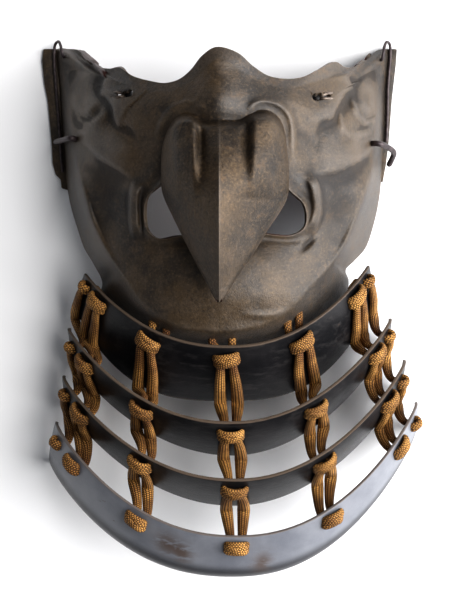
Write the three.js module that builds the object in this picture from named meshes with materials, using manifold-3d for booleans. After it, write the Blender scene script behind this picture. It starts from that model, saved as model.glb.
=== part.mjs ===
// A Japanese armourer's half mask (menpo) of hammered russet iron with a crow's beak, and the throat guard
// of four black-lacquered lames that hangs from its jaw on braided cords. It lies on its back on a table.
// Millimetres. +X is the mask's left-right axis, +Y points to its upper edge, +Z forward from the face.
import * as THREE from "three";
import { mergeVertices } from "three/addons/utils/BufferGeometryUtils.js";
import Module from "manifold-3d";

const wasm = await Module();
wasm.setup();

// ---- Driving dimensions -------------------------------------------------------------------------------
const GAP = 0.3; // clear space between neighbouring pieces
const SHELL_WALL = 2.0; // hammered plate of the mask
const BEAK_WALL = 1.6; // plate of the beak
const BEAK_DEPTH = 2.16; // the same plate measured straight down, on the beak's slopes
const LAME_WALL = 1.8; // lacquered plate of a lame
const LAME_BULGE = 0.8; // how far a lame's face swells between its edges
const STRIP_THICKNESS = 2.0; // out-turned side strips
const CORD_RADIUS = 2.0; // braided lacing cord
const CORD_SIDES = 8;
const HOLE_SIDES = 6;
const LACE_HOLE_RADIUS = 2.85; // leaves the gap round a cord on the flats of the hole
const KNOT = { across: 6.6, along: 4.3, high: 2.5 }; // half sizes of a lacing knot
const END_KNOT = { across: 3.4, along: 3.9, high: 2.3 }; // half sizes of the small knot near a lame's tip
const KNOT_TAPER = 0.8; // top of a knot to its foot
const HOLE_PITCH = 5.4; // between the two holes under a knot
const ROD_RADIUS = 0.75;
const PEG_RADIUS = 1.45;
const PIN_RADIUS = 0.65;
const DRILL_REACH = 4; // how far a lace hole's drill passes both faces of its plate
const SLOT_DRILL = 30; // depth of the cutter that makes a slot
const SLOT = { long: 9.6, wide: 4.6 };
const FACE_CENTRE_X = -1.5; // the plane that the face's main form is even about
const RIDGE_X = -2.7; // the beak's ridge
const STAR_CENTRE = new THREE.Vector2(0, 50); // every outline of the shell is seen whole from here

// ---- Colours ------------------------------------------------------------------------------------------
function finish(color, roughness, metalness) {
  return new THREE.MeshStandardMaterial({ color, roughness, metalness });
}

const RUSSET = () => finish(0x5c4b3c, 0.62, 0.55);
const RUSSET_BROWN = () => finish(0x6b5238, 0.66, 0.5);
const BLACK_LACQUER = () => finish(0x1b1a1c, 0.34, 0.15);
const DARK_IRON = () => finish(0x2f2627, 0.55, 0.7);
const BRAID = () => finish(0x8a5a24, 0.85, 0.0);

// ---- Solids -------------------------------------------------------------------------------------------
function toSolid(geometry) {
  const bare = geometry.clone();
  bare.deleteAttribute("normal");
  bare.deleteAttribute("uv");
  const merged = mergeVertices(bare, 1e-4);
  const vertProperties = new Float32Array(merged.attributes.position.array);
  const triVerts = new Uint32Array(merged.index.array);
  return new wasm.Manifold(new wasm.Mesh({ numProp: 3, vertProperties, triVerts }));
}

function toGeometry(solid) {
  const mesh = solid.getMesh();
  const geometry = new THREE.BufferGeometry();
  geometry.setAttribute("position", new THREE.BufferAttribute(new Float32Array(mesh.vertProperties), 3));
  geometry.setIndex(new THREE.BufferAttribute(new Uint32Array(mesh.triVerts), 1));
  geometry.computeVertexNormals();
  return geometry;
}

// A closed wall between two matching grids of points, [row][column]. A wrapped grid closes on itself along
// its rows.
function wallGeometry(outer, inner, wrapped) {
  const rows = outer.length;
  const columns = outer[0].length;
  const positions = [...outer.flat(), ...inner.flat()].flatMap((p) => [p.x, p.y, p.z]);
  const at = (side, row, column) => side * rows * columns + row * columns + (column % columns);
  const index = [];
  const quad = (a, b, c, d) => index.push(a, b, c, a, c, d);
  const spans = wrapped ? columns : columns - 1;
  for (let r = 0; r < rows - 1; r++) {
    for (let c = 0; c < spans; c++) {
      quad(at(0, r, c), at(0, r, c + 1), at(0, r + 1, c + 1), at(0, r + 1, c));
      quad(at(1, r, c), at(1, r + 1, c), at(1, r + 1, c + 1), at(1, r, c + 1));
    }
  }
  for (let c = 0; c < spans; c++) {
    quad(at(0, 0, c), at(1, 0, c), at(1, 0, c + 1), at(0, 0, c + 1));
    quad(at(0, rows - 1, c), at(0, rows - 1, c + 1), at(1, rows - 1, c + 1), at(1, rows - 1, c));
  }
  for (let r = 0; r < rows - 1 && !wrapped; r++) {
    quad(at(0, r, 0), at(0, r + 1, 0), at(1, r + 1, 0), at(1, r, 0));
    quad(at(0, r, columns - 1), at(1, r, columns - 1), at(1, r + 1, columns - 1), at(0, r + 1, columns - 1));
  }
  const geometry = new THREE.BufferGeometry();
  geometry.setAttribute("position", new THREE.Float32BufferAttribute(positions, 3));
  geometry.setIndex(signedVolume(positions, index) > 0 ? index : index.reverse());
  return geometry;
}

function signedVolume(positions, index) {
  const corner = (i) => new THREE.Vector3().fromArray(positions, 3 * index[i]);
  let volume = 0;
  for (let i = 0; i < index.length; i += 3) {
    volume += corner(i).dot(corner(i + 1).cross(corner(i + 2))) / 6;
  }
  return volume;
}

// Unit normals of a grid, from the neighbours of each point.
function gridNormals(grid, wrapped) {
  const columns = grid[0].length;
  const clampedRow = (r) => Math.min(Math.max(r, 0), grid.length - 1);
  const nextColumn = (c) => (wrapped ? (c + columns) % columns : Math.min(Math.max(c, 0), columns - 1));
  return grid.map((row, r) => row.map((_, c) => {
    const along = grid[r][nextColumn(c + 1)].clone().sub(grid[r][nextColumn(c - 1)]);
    const across = grid[clampedRow(r + 1)][c].clone().sub(grid[clampedRow(r - 1)][c]);
    return along.cross(across).normalize();
  }));
}

// The grid moved back from its outer side by a wall's thickness, and kept above the table.
function backOf(grid, wrapped, thickness, outwardSign) {
  const normals = gridNormals(grid, wrapped);
  return grid.map((row, r) => row.map((p, c) => {
    const back = p.clone().addScaledVector(normals[r][c], -thickness * outwardSign);
    back.z = Math.max(back.z, 0);
    return back;
  }));
}

function roundSection(radius, sides) {
  const turn = (k) => (2 * Math.PI * k) / sides;
  const corner = (k) => new THREE.Vector2(Math.cos(turn(k)), Math.sin(turn(k))).multiplyScalar(radius);
  return new THREE.Shape(Array.from({ length: sides }, (_, k) => corner(k)));
}

// A smooth curve whose steps fall on its own points, so that a cord runs straight where its points say so.
class Route extends THREE.CatmullRomCurve3 {
  getPointAt(share, target) {
    return this.getPoint(share, target);
  }

  getTangentAt(share, target) {
    return this.getTangent(share, target);
  }
}

function tube(points, radius, sides, stepsPerPoint = 1) {
  const extrudePath = new Route(points, false, "centripetal");
  const steps = (points.length - 1) * stepsPerPoint;
  return new THREE.ExtrudeGeometry(roundSection(radius, sides), { steps, bevelEnabled: false, extrudePath });
}

function rod(from, to, radius, sides) {
  return tube([from, to], radius, sides);
}

// A plate of the outline (x, y pairs), lying on the table.
function plate(outline, thickness) {
  const shape = new THREE.Shape(outline.map(([x, y]) => new THREE.Vector2(x, y)));
  return new THREE.ExtrudeGeometry(shape, { depth: thickness, bevelEnabled: false });
}

// ---- The face's main form -----------------------------------------------------------------------------
// Height of the face along its middle plane, from the chin's underside up to the nose bridge: (y, z).
const MIDDLE_PROFILE = [[-26, 69], [-16, 74], [5, 79], [30, 81], [60, 88], [90, 90], [110, 84], [134, 73]];
const CHEEK_FALL_LOW = 0.0084; // how fast the face falls away sideways at the jaw
const CHEEK_FALL_HIGH = 0.0112; // and at the upper edge
const NOSE_BRIDGE = { x: -3, y: 112, wide: 13, long: 26, high: 6 };
const MOUTH_HOLLOW = { x: 0, y: 33, wide: 34, long: 13, high: -9 };

function smoothstep(low, high, value) {
  const t = Math.min(Math.max((value - low) / (high - low), 0), 1);
  return t * t * (3 - 2 * t);
}

function alongProfile(profile, at) {
  const last = profile.length - 1;
  if (at <= profile[0][0]) return profile[0][1];
  if (at >= profile[last][0]) return profile[last][1];
  const k = profile.findIndex(([y]) => y > at);
  const [y0, z0] = profile[k - 1];
  const [y1, z1] = profile[k];
  return THREE.MathUtils.lerp(z0, z1, smoothstep(y0, y1, at));
}

function dome({ x, y, wide, long, high }, px, py) {
  return high * Math.exp(-(((px - x) / wide) ** 2) - ((py - y) / long) ** 2);
}

function faceHeight(x, y) {
  const fall = THREE.MathUtils.lerp(CHEEK_FALL_LOW, CHEEK_FALL_HIGH, smoothstep(50, 80, y));
  const form = alongProfile(MIDDLE_PROFILE, y) - fall * (x - FACE_CENTRE_X) ** 2;
  return Math.max(form + dome(NOSE_BRIDGE, x, y) + dome(MOUTH_HOLLOW, x, y), STRIP_THICKNESS);
}

// ---- Outlines of the shell ----------------------------------------------------------------------------
// The shell's edge, clockwise from the nose bridge: [x, y, z]. Where z is left out the edge is on the face.
const SHELL_EDGE = [
  [-4, 117.5], [6, 115], [13, 109.5], [20, 105.5], [27, 104.5], [36, 106], [45, 111], [54, 116.5],
  [60, 115.5], [68, 119], [74, 124.5], [80, 130.5], [84.5, 131, 2], [83.5, 112, 2], [83, 95, 2],
  [82.5, 78, 2], [81.5, 62, 3], [80, 51, 5], [77, 39, 9], [72, 26.5, 16], [66, 20, 21], [61, 15, 27],
  [63, 9.5, 22], [60, -0.5, 27], [51, -9, 36], [41, -16, 41], [30, -21.5, 45.5], [16, -25, 48],
  [-2, -27, 49], [-20, -24.5, 47.5], [-33, -21, 45], [-45, -15, 41], [-55, -7, 36], [-62.5, 2, 30],
  [-62, 9, 28], [-67, 18.5, 22], [-72.5, 27, 15], [-76.5, 37.5, 10], [-80, 48, 6], [-82.5, 60, 3],
  [-83.8, 74, 2], [-85, 92, 2], [-86.5, 111, 2], [-87.5, 131, 2], [-82, 131.2], [-75.5, 128.5],
  [-68, 118.5], [-57, 113.5], [-51, 112.3], [-44, 107.2], [-35, 103.7], [-28, 102.2], [-21.5, 103.5],
  [-16, 107.5], [-10.5, 113.7],
];
// The crease where the face turns down into the jaw flange and the side walls: [x, y].
const CREASE = [
  [-3, 111], [12, 104], [27, 99.5], [44, 105], [58, 110.5], [70, 114.5], [77.5, 119], [77.5, 103],
  [77.3, 90], [76, 76], [73, 62.5], [69.5, 53], [64.5, 39], [58, 26], [51.5, 17], [41, 6], [31, -5],
  [21.5, -11], [11, -14], [-2, -15.3], [-21, -13.5], [-31, -9], [-41, -1], [-51, 13.5], [-57, 22],
  [-62.5, 32], [-66.5, 41], [-69, 50], [-72, 60], [-75.5, 73], [-78, 88], [-79.5, 102], [-80.5, 118],
  [-70, 115], [-56, 108], [-43, 101.8], [-27.5, 97.3], [-15, 102.5],
];
// The nose and mouth hole: narrow under the beak's root, wide at the mouth.
const HOLE = [
  [0, 79], [12, 78], [20, 73], [23.5, 66], [25.5, 57], [31, 51], [37, 46], [39, 40], [37.5, 34],
  [31, 30.7], [16, 31.5], [-4, 31.5], [-20, 30.5], [-31, 29], [-37, 33], [-38.7, 41], [-36.5, 49],
  [-29.5, 54.5], [-25, 60], [-23, 68], [-19, 74.5], [-11, 78],
];
const SPOKES = 68; // columns of the shell's mesh
const LEAST_TURN = 0.012; // radians
const FACE_ROWS = 5; // rows between the hole and the crease
const WALL_ROWS = 2; // rows between the crease and the edge

function closedCurve(points) {
  const corners = points.map(([x, y, z]) => new THREE.Vector3(x, y, z ?? 0));
  return new THREE.CatmullRomCurve3(corners, true, "centripetal");
}

const angleFromStar = (p) => Math.atan2(p.y - STAR_CENTRE.y, p.x - STAR_CENTRE.x);

// The point where an outline crosses the ray that leaves the star centre at an angle.
function rayCrossing(outline, angle) {
  const turned = (p) => Math.atan2(Math.sin(angleFromStar(p) - angle), Math.cos(angleFromStar(p) - angle));
  for (let k = 0; k < outline.length; k++) {
    const a = outline[k];
    const b = outline[(k + 1) % outline.length];
    const [ta, tb] = [turned(a), turned(b)];
    if (ta * tb <= 0 && Math.abs(ta - tb) < 1) {
      return a.clone().lerp(b, ta === tb ? 0 : ta / (ta - tb));
    }
  }
  throw new Error("outline not seen from the star centre");
}

const FINE = 600; // points on each outline for ray crossings
const edgeCurve = closedCurve(SHELL_EDGE.map(([x, y, z]) => [x, y, z ?? faceHeight(x, y)]));
const creaseLine = closedCurve(CREASE).getPoints(FINE);
const holeLine = closedCurve(HOLE).getPoints(FINE);

// One spoke of the shell: points from the hole's rim over the face and the crease down to the edge.
function shellSpoke(edgePoint, angle = angleFromStar(edgePoint)) {
  const rim = rayCrossing(holeLine, angle);
  const crease = rayCrossing(creaseLine, angle);
  const spoke = [];
  for (let k = 0; k <= FACE_ROWS; k++) {
    const p = rim.clone().lerp(crease, k / FACE_ROWS);
    p.z = faceHeight(p.x, p.y);
    spoke.push(p);
  }
  for (let k = 1; k <= WALL_ROWS; k++) {
    spoke.push(spoke[FACE_ROWS].clone().lerp(edgePoint, k / WALL_ROWS));
  }
  return spoke;
}

// Where the edge runs almost along a ray, the spokes are kept in order by a least turn between two of them.
function shellGrid() {
  const edge = Array.from({ length: SPOKES }, (_, k) => edgeCurve.getPoint(k / SPOKES));
  const angles = [angleFromStar(edge[0])];
  for (let k = 1; k < SPOKES; k++) {
    const turn = (angles[k - 1] - angleFromStar(edge[k]) + 3 * Math.PI) % (2 * Math.PI) - Math.PI;
    angles.push(angles[k - 1] - Math.max(turn, LEAST_TURN));
  }
  const spokes = edge.map((point, k) => shellSpoke(point, angles[k]));
  return spokes[0].map((_, row) => spokes.map((spoke) => spoke[row]));
}

// A point on the jaw flange, a share of the way from the crease to the edge, with its outward direction.
function flangePoint(x, share) {
  const samples = edgeCurve.getPoints(FINE).filter((p) => p.y < 20);
  const edgePoint = samples.reduce((best, p) => (Math.abs(p.x - x) < Math.abs(best.x - x) ? p : best));
  const spoke = shellSpoke(edgePoint);
  const crease = spoke[FACE_ROWS];
  const point = crease.clone().lerp(edgePoint, share);
  const down = edgePoint.clone().sub(crease).normalize();
  const outward = down.cross(new THREE.Vector3(1, 0, 0)).normalize();
  return { point, outward: outward.y < 0 ? outward : outward.negate() };
}

// ---- The throat guard's lames -------------------------------------------------------------------------
// Each edge of a lame is an arch: x = shift + half width * sin(turn), y sweeps up from its crown to each
// end, and z falls from its crown to its ends.
const LAMES = [
  {
    top: { shift: 1, half: 72, crownY: -22.4, left: 36, right: 40, power: 2.2, crownZ: 71, endZ: 26 },
    low: { shift: -0.4, half: 77, crownY: -50, left: 45.5, right: 48.5, power: 3, crownZ: 44, endZ: 8 },
  },
  {
    top: { shift: 2.4, half: 83, crownY: -58.4, left: 44, right: 49, power: 2.1, crownZ: 75, endZ: 16 },
    low: { shift: 3.4, half: 80.6, crownY: -76.2, left: 41.8, right: 52.8, power: 2, crownZ: 51, endZ: 1 },
  },
  {
    top: { shift: 4.7, half: 88, crownY: -85.7, left: 47, right: 55, power: 2.1, crownZ: 74, endZ: 16 },
    low: { shift: 4, half: 86, crownY: -100.9, left: 45.4, right: 52.9, power: 2, crownZ: 50, endZ: 1 },
  },
  {
    top: { shift: 5.9, half: 92.6, crownY: -112.6, left: 50.5, right: 60.5, power: 2.2, crownZ: 71,
      endZ: 17 },
    low: { shift: 3.8, half: 96, crownY: -133, left: 48, right: 64.5, power: 2.3, crownZ: 56, endZ: 0 },
  },
];
const LAME_STEPS = 28; // along the arch
const LAME_ROWS = 2; // across the lame

// Places of the lacing along a lame, as the sine of the turn. End columns have a large and a small knot.
const COLUMNS = {
  a: { knots: [-0.862, -0.955], end: true },
  b: { knots: [-0.515], end: false },
  c: { knots: [0], end: false },
  d: { knots: [0.49], end: false },
  e: { knots: [0.865, 0.952], end: true },
};
const KNOT_SHARE = [0.2, 0.28, 0.3, 0.23]; // how far down each lame its knots sit

function edgePoint(edge, turn) {
  const s = Math.sin(turn);
  const sweep = s < 0 ? edge.left : edge.right;
  const y = edge.crownY + sweep * Math.abs(s) ** edge.power;
  const z = THREE.MathUtils.lerp(edge.endZ, edge.crownZ, Math.cos(turn));
  return new THREE.Vector3(edge.shift + edge.half * s, y, z);
}

// A point of a lame's face: turn along the arch, share across from its top edge, lift off the face.
function lameFrame(lame, turn) {
  const top = edgePoint(lame.top, turn);
  const low = edgePoint(lame.low, turn);
  const step = 0.01;
  const along = edgePoint(lame.top, turn + step).sub(edgePoint(lame.top, turn - step)).normalize();
  const down = low.clone().sub(top).normalize();
  const out = down.clone().cross(along).normalize();
  return { top, low, along, down, out };
}

function lamePoint(lame, turn, share, lift) {
  const { top, low, out } = lameFrame(lame, turn);
  const bulge = LAME_BULGE * 4 * share * (1 - share);
  return top.clone().lerp(low, share).addScaledVector(out, lift + bulge);
}

function lameGrid(lame, lift) {
  const turns = Array.from({ length: LAME_STEPS + 1 }, (_, k) => (k / LAME_STEPS - 0.5) * Math.PI);
  return Array.from({ length: LAME_ROWS + 1 }, (_, r) => turns.map((turn) => {
    const p = lamePoint(lame, turn, r / LAME_ROWS, lift);
    p.z = Math.max(p.z, 0);
    return p;
  }));
}

// The lace holes of one column in one lame: a pair under each large knot, one under a small end knot.
function laceHoles(lame, lameIndex, column) {
  const share = KNOT_SHARE[lameIndex];
  return column.knots.flatMap((sine, k) => {
    const centre = Math.asin(sine);
    const frame = lameFrame(lame, centre);
    const offsets = k === 0 ? [-HOLE_PITCH / 2, HOLE_PITCH / 2] : [0];
    return offsets.map((offset) => ({
      inside: lamePoint(lame, centre, share, -LAME_WALL).addScaledVector(frame.along, offset),
      outside: lamePoint(lame, centre, share, 0).addScaledVector(frame.along, offset),
      turn: centre,
      offset,
      small: k === 1,
      frame,
    }));
  });
}

function drill(hole, radius) {
  const from = hole.inside.clone().addScaledVector(hole.frame.out, -DRILL_REACH);
  const to = hole.outside.clone().addScaledVector(hole.frame.out, DRILL_REACH);
  return toSolid(rod(from, to, radius, HOLE_SIDES));
}

function makeLame(index) {
  const lame = LAMES[index];
  let solid = toSolid(wallGeometry(lameGrid(lame, 0), lameGrid(lame, -LAME_WALL), false));
  for (const column of Object.values(COLUMNS)) {
    for (const hole of laceHoles(lame, index, column)) {
      solid = solid.subtract(drill(hole, LACE_HOLE_RADIUS));
    }
  }
  return toGeometry(solid);
}

// ---- Lacing -------------------------------------------------------------------------------------------
const FACE_LIFT = CORD_RADIUS + GAP + 0.3; // a cord's middle over the face that it lies on
const INNER_REACH = 3.4; // a cord's middle behind a lame before it turns into its hole
const JOIN_REACH = 2.8; // and the middle of the cord that joins an end column's two cords there
const LEAVES_FACE = 0.6; // share of a lame below which its cord starts to lift off
const FLANGE_BACK = 1.5; // a cord's start behind the jaw flange's inner face
const FLANGE_LIFT = 1.6; // and its first bend in front of the outer face

function knotSolid(centre, frame, size) {
  const pad = new THREE.CylinderGeometry(KNOT_TAPER, 1, 2, 8).rotateX(Math.PI / 2);
  const turned = new THREE.Matrix4().makeBasis(
    frame.along.clone().multiplyScalar(-size.across),
    frame.down.clone().multiplyScalar(size.along),
    frame.out.clone().multiplyScalar(size.high),
  );
  turned.setPosition(centre);
  return toSolid(pad.applyMatrix4(turned));
}

// The cord from one lame's face, down over its lower edge, up behind the next lame and out through its hole.
function stretch(lame, hole, nextHole) {
  const overFace = (share) => {
    return lamePoint(lame, hole.turn, share, FACE_LIFT).addScaledVector(hole.frame.along, hole.offset);
  };
  return [overFace(LEAVES_FACE), overFace(1), ...throughHole(nextHole)];
}

function throughHole(hole) {
  return [
    hole.inside.clone().addScaledVector(hole.frame.out, -INNER_REACH),
    hole.outside.clone().addScaledVector(hole.frame.out, FACE_LIFT),
  ];
}

const FLANGE_COLUMNS = { b: [-39, -31.5], c: [-6.5, 3.5], d: [34.5, 41] }; // cord places on the flange, in x
const FLANGE_SHARE = 0.34; // how far down the jaw flange its holes sit

function flangeHoles(name) {
  return (FLANGE_COLUMNS[name] ?? []).map((x) => flangePoint(x, FLANGE_SHARE));
}

// One cord of a column, from the jaw flange (or from behind the first lame) to its end in the last knot.
function cordRoute(holes, flangeHole) {
  const start = flangeHole ? [-SHELL_WALL - FLANGE_BACK, FLANGE_LIFT].map((lift) => {
    return flangeHole.point.clone().addScaledVector(flangeHole.outward, lift);
  }) : [];
  const stretches = holes.slice(1).map((next, index) => stretch(LAMES[index], holes[index], next));
  return [...start, ...throughHole(holes[0]), ...stretches.flat()];
}

function makeLacing(name) {
  const column = COLUMNS[name];
  const rows = LAMES.map((lame, index) => laceHoles(lame, index, column));
  const flange = flangeHoles(name);
  const cords = rows[0].map((_, k) => cordRoute(rows.map((row) => row[k]), flange[k]));
  const pieces = cords.map((route) => toSolid(tube(route, CORD_RADIUS, CORD_SIDES)));
  LAMES.forEach((lame, index) => {
    column.knots.forEach((sine, k) => {
      const turn = Math.asin(sine);
      const size = k === 0 ? KNOT : END_KNOT;
      const centre = lamePoint(lame, turn, KNOT_SHARE[index], size.high + GAP);
      pieces.push(knotSolid(centre, lameFrame(lame, turn), size));
    });
  });
  if (column.end) {
    const behind = (hole) => hole.inside.clone().addScaledVector(hole.frame.out, -JOIN_REACH);
    const near = rows[0][name === "a" ? 0 : 1];
    pieces.push(toSolid(rod(behind(near), behind(rows[0][2]), CORD_RADIUS, CORD_SIDES)));
  }
  return toGeometry(pieces.reduce((whole, piece) => whole.add(piece)));
}

// ---- Mask shell ---------------------------------------------------------------------------------------
// Outlines of the out-turned side strips, which lie on the table.
const STRIP_LEFT = [
  [-95, 131.3], [-95.7, 125], [-94.5, 113], [-92.8, 104.5], [-90.7, 82], [-90.2, 71.5], [-88.6, 65.5],
  [-86, 63], [-85.5, 58.5], [-81.5, 57.3], [-80.5, 62], [-82, 80], [-84, 110], [-84.5, 131.3],
];
const STRIP_RIGHT = [
  [90, 131.3], [81.5, 131.3], [80.5, 110], [80, 80], [79.5, 63], [82.5, 61.5], [84.2, 70.5], [85.5, 80.5],
  [87.3, 104.5], [89.4, 122.8],
];
const SLOTS = [
  { name: "left", x: -48.7, y: 98.7, tilt: 0.05 },
  { name: "right", x: 46.2, y: 97.6, tilt: 0.22 },
];

function slotSolid({ x, y, tilt }) {
  const half = (SLOT.long - SLOT.wide) / 2;
  const shape = new THREE.Shape();
  shape.absarc(half, 0, SLOT.wide / 2, -Math.PI / 2, Math.PI / 2);
  shape.absarc(-half, 0, SLOT.wide / 2, Math.PI / 2, (3 * Math.PI) / 2);
  const bar = new THREE.ExtrudeGeometry(shape, { depth: SLOT_DRILL, bevelEnabled: false, curveSegments: 4 });
  bar.translate(0, 0, -SLOT_DRILL / 2).rotateZ(tilt).translate(x, y, faceHeight(x, y));
  return toSolid(bar);
}

function makeShell() {
  const outer = shellGrid();
  const outwardSign = gridNormals(outer, true)[0][0].z > 0 ? 1 : -1;
  let solid = toSolid(wallGeometry(outer, backOf(outer, true, SHELL_WALL, outwardSign), true));
  solid = solid.add(toSolid(plate(STRIP_LEFT, STRIP_THICKNESS)));
  solid = solid.add(toSolid(plate(STRIP_RIGHT, STRIP_THICKNESS)));
  SLOTS.forEach((slot) => {
    solid = solid.subtract(slotSolid(slot));
  });
  for (const name of Object.keys(FLANGE_COLUMNS)) {
    for (const { point, outward } of flangeHoles(name)) {
      const from = point.clone().addScaledVector(outward, -SHELL_WALL - DRILL_REACH);
      const to = point.clone().addScaledVector(outward, DRILL_REACH);
      solid = solid.subtract(toSolid(rod(from, to, LACE_HOLE_RADIUS, HOLE_SIDES)));
    }
  }
  for (const side of ["left", "right"]) {
    const peg = PEGS[side];
    solid = solid.subtract(toSolid(rod(peg[0], peg[2], PEG_RADIUS + 2 * GAP, HOLE_SIDES)));
    const hook = RODS[side];
    solid = solid.subtract(toSolid(rod(hook[0], hook[2], ROD_RADIUS + 2 * GAP, HOLE_SIDES)));
  }
  return toGeometry(solid);
}

// ---- Beak ---------------------------------------------------------------------------------------------
// Half outline of the beak's root and sides, from the middle of the root round a nostril lobe to the tip.
const BEAK_RIGHT = [
  [-2.7, 83.8], [6.5, 84], [11.5, 87], [19, 88.5], [25, 85.5], [28, 79], [29.2, 70], [30, 59],
  [29.3, 48], [20, 32.5], [12.6, 20.5], [5, 9.5], [0, 1.5], [-2.7, -1.5],
];
const BEAK_LEFT = [
  [-2.7, 83.8], [-10, 84], [-15.5, 87], [-21, 86.5], [-25.5, 82], [-28.5, 75], [-29.8, 68], [-30, 59],
  [-29.3, 50], [-24, 38], [-16.3, 22.5], [-9.5, 9.5], [-5, 1], [-2.7, -1.5],
];
// Height of the beak along its ridge, from the tip to the root: (y, z).
const RIDGE = [
  [-2, 94.5], [8, 101], [20, 109.5], [35, 116], [50, 117], [67, 109], [78, 100.5], [84, 93.5], [90, 93],
];
const SEAT_GAP = 0.8; // between the beak's foot and the hammered, uneven face under it
const TIP_EDGE_Z = 92.5; // height of the beak's under edge at the tip
const FREE_FROM_Y = 46; // below here the beak's edge stands free over the mouth
const LOBES = [
  { x: 17, y: 73, wide: 8.5, long: 17, high: 7 },
  { x: -20, y: 73, wide: 8, long: 17, high: 7 },
];
const ROOT_SHARE = 5 / 13; // share of each half outline that is the root
const TIP_BLUNTNESS = 0.985;
const BILL_FALL = 0.85; // 1 is a straight-sided bill, less is fuller
const ROOT_RISE_ROWS = 3; // rows over which the root rises from the brow
const LOBE_FADE = 0.35; // share of the half width over which the lobes die out towards the beak's edge
const BEAK_ROWS = 16;
const BEAK_COLUMNS = 16;

function openCurve(points) {
  const corners = points.map(([x, y]) => new THREE.Vector3(x, y, 0));
  return new THREE.CatmullRomCurve3(corners, false, "centripetal");
}

// Height of the beak's under edge: on the shell at the root, then rising free to the tip.
function beakEdgeHeight(x, y) {
  if (y >= FREE_FROM_Y) {
    return faceHeight(x, y) + SEAT_GAP;
  }
  const free = (FREE_FROM_Y - y) / (FREE_FROM_Y + 2);
  return THREE.MathUtils.lerp(faceHeight(x, FREE_FROM_Y) + SEAT_GAP, TIP_EDGE_Z, free);
}

// The beak from above: rows run down from the root to the tip, columns across from left to right. The first
// row follows the double arch of the root, and the rows below it straighten out.
function beakGrid() {
  const halves = { left: openCurve(BEAK_LEFT), right: openCurve(BEAK_RIGHT) };
  const straightRow = (r, s) => {
    const share = ROOT_SHARE + (1 - ROOT_SHARE) * (r / BEAK_ROWS) * TIP_BLUNTNESS;
    const [a, b] = [halves.left.getPoint(share), halves.right.getPoint(share)];
    const middle = new THREE.Vector3(RIDGE_X, (a.y + b.y) / 2, 0);
    return middle.lerp(s < 0 ? a : b, Math.abs(s));
  };
  return Array.from({ length: BEAK_ROWS + 1 }, (_, r) => Array.from({ length: BEAK_COLUMNS + 1 }, (_, c) => {
    const s = (2 * c) / BEAK_COLUMNS - 1;
    const root = halves[s < 0 ? "left" : "right"].getPoint(ROOT_SHARE * Math.abs(s));
    const arch = root.sub(straightRow(0, s)).multiplyScalar((1 - r / BEAK_ROWS) ** 3);
    return beakSurface(straightRow(r, s).add(arch), Math.abs(s), smoothstep(0, ROOT_RISE_ROWS, r));
  }));
}

// Lifts a point of the plan onto the beak: a straight-sided bill, with the lobes on its root.
function beakSurface(p, s, rise) {
  const base = beakEdgeHeight(p.x, p.y) + BEAK_WALL;
  const lobes = LOBES.reduce((sum, lobe) => sum + dome(lobe, p.x, p.y), 0);
  const bill = Math.max(alongProfile(RIDGE, p.y) - base, 0) * (1 - s) ** BILL_FALL;
  p.z = base + rise * (bill + lobes * smoothstep(0, LOBE_FADE, 1 - s));
  return p;
}

function makeBeak() {
  const outer = beakGrid();
  const inner = outer.map((row) => row.map((p) => {
    const low = p.clone();
    low.z = Math.max(p.z - BEAK_DEPTH, beakEdgeHeight(p.x, p.y));
    return low;
  }));
  return wallGeometry(outer, inner, false);
}

// ---- Iron rods, pegs and pins -------------------------------------------------------------------------
const vectors = (points) => points.map(([x, y, z]) => new THREE.Vector3(x, y, z));

// Each rod: from its hole in the shell over the upper edge, then down along the foot of the side wall.
const RODS = {
  left: vectors([
    [-83, 126, 3], [-83.3, 126, 7.5], [-83.6, 126, 11.5], [-84.3, 128.6, 12.4], [-85, 131.5, 10.5],
    [-86.5, 134.2, 7], [-88.6, 133.2, 3.4], [-89.2, 128, 3.1], [-88.3, 112, 3.1], [-86.7, 92, 3.1],
    [-85.4, 74, 3.1], [-84.6, 66.5, 3.1],
  ]),
  right: vectors([
    [80.5, 124.5, 3], [80.9, 124.5, 7], [81.2, 124.5, 10.5], [81.7, 127.2, 11.6], [82.4, 130.8, 10],
    [84, 134, 7], [86, 133.2, 3.4], [86.3, 128, 3.1], [85.1, 112, 3.1], [84.7, 95, 3.1], [84.2, 82, 3.1],
  ]),
};
// Each peg: from inside the shell out through the cheek, and bent down towards the side strip.
const PEGS = {
  left: vectors([
    [-71.5, 80.5, 24], [-74.2, 80.7, 29], [-77, 81, 34], [-82, 81.3, 24], [-86, 81.7, 13], [-88, 82, 7],
  ]),
  right: vectors([
    [71.5, 79.5, 24], [74.2, 79, 28], [77, 78.5, 32], [82, 77.5, 26], [86.5, 75.5, 17], [86.3, 73, 11],
    [84.8, 69.5, 7],
  ]),
};

function makeRod(side) {
  return tube(RODS[side], ROD_RADIUS, CORD_SIDES);
}

function makePeg(side) {
  return tube(PEGS[side], PEG_RADIUS, CORD_SIDES, 2);
}

// A split pin: one wire, both of whose ends come out through the slot and are bent over outwards.
function makePin({ x, y, tilt }) {
  const outward = Math.sign(x);
  const along = new THREE.Vector2(Math.cos(tilt) * outward, Math.sin(tilt) * outward * Math.sign(x));
  const place = (out, side, lift) => {
    const px = x + along.x * out - along.y * side;
    const py = y + along.y * out + along.x * side;
    return new THREE.Vector3(px, py, faceHeight(px, py) + lift);
  };
  const points = [
    place(6.2, 1.4, 1.7), place(3, 1.2, 2.1), place(1, 0.9, 0.6), place(0.3, 0.8, -3),
    place(-0.6, 0, -5.2),
    place(0.3, -0.8, -3), place(1, -0.9, 0.6), place(3, -1.2, 2.1), place(5.8, -1.6, 1.7),
  ];
  return tube(points, PIN_RADIUS, CORD_SIDES);
}

// ---- Assembly -----------------------------------------------------------------------------------------
const guard = new THREE.Group();

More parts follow.
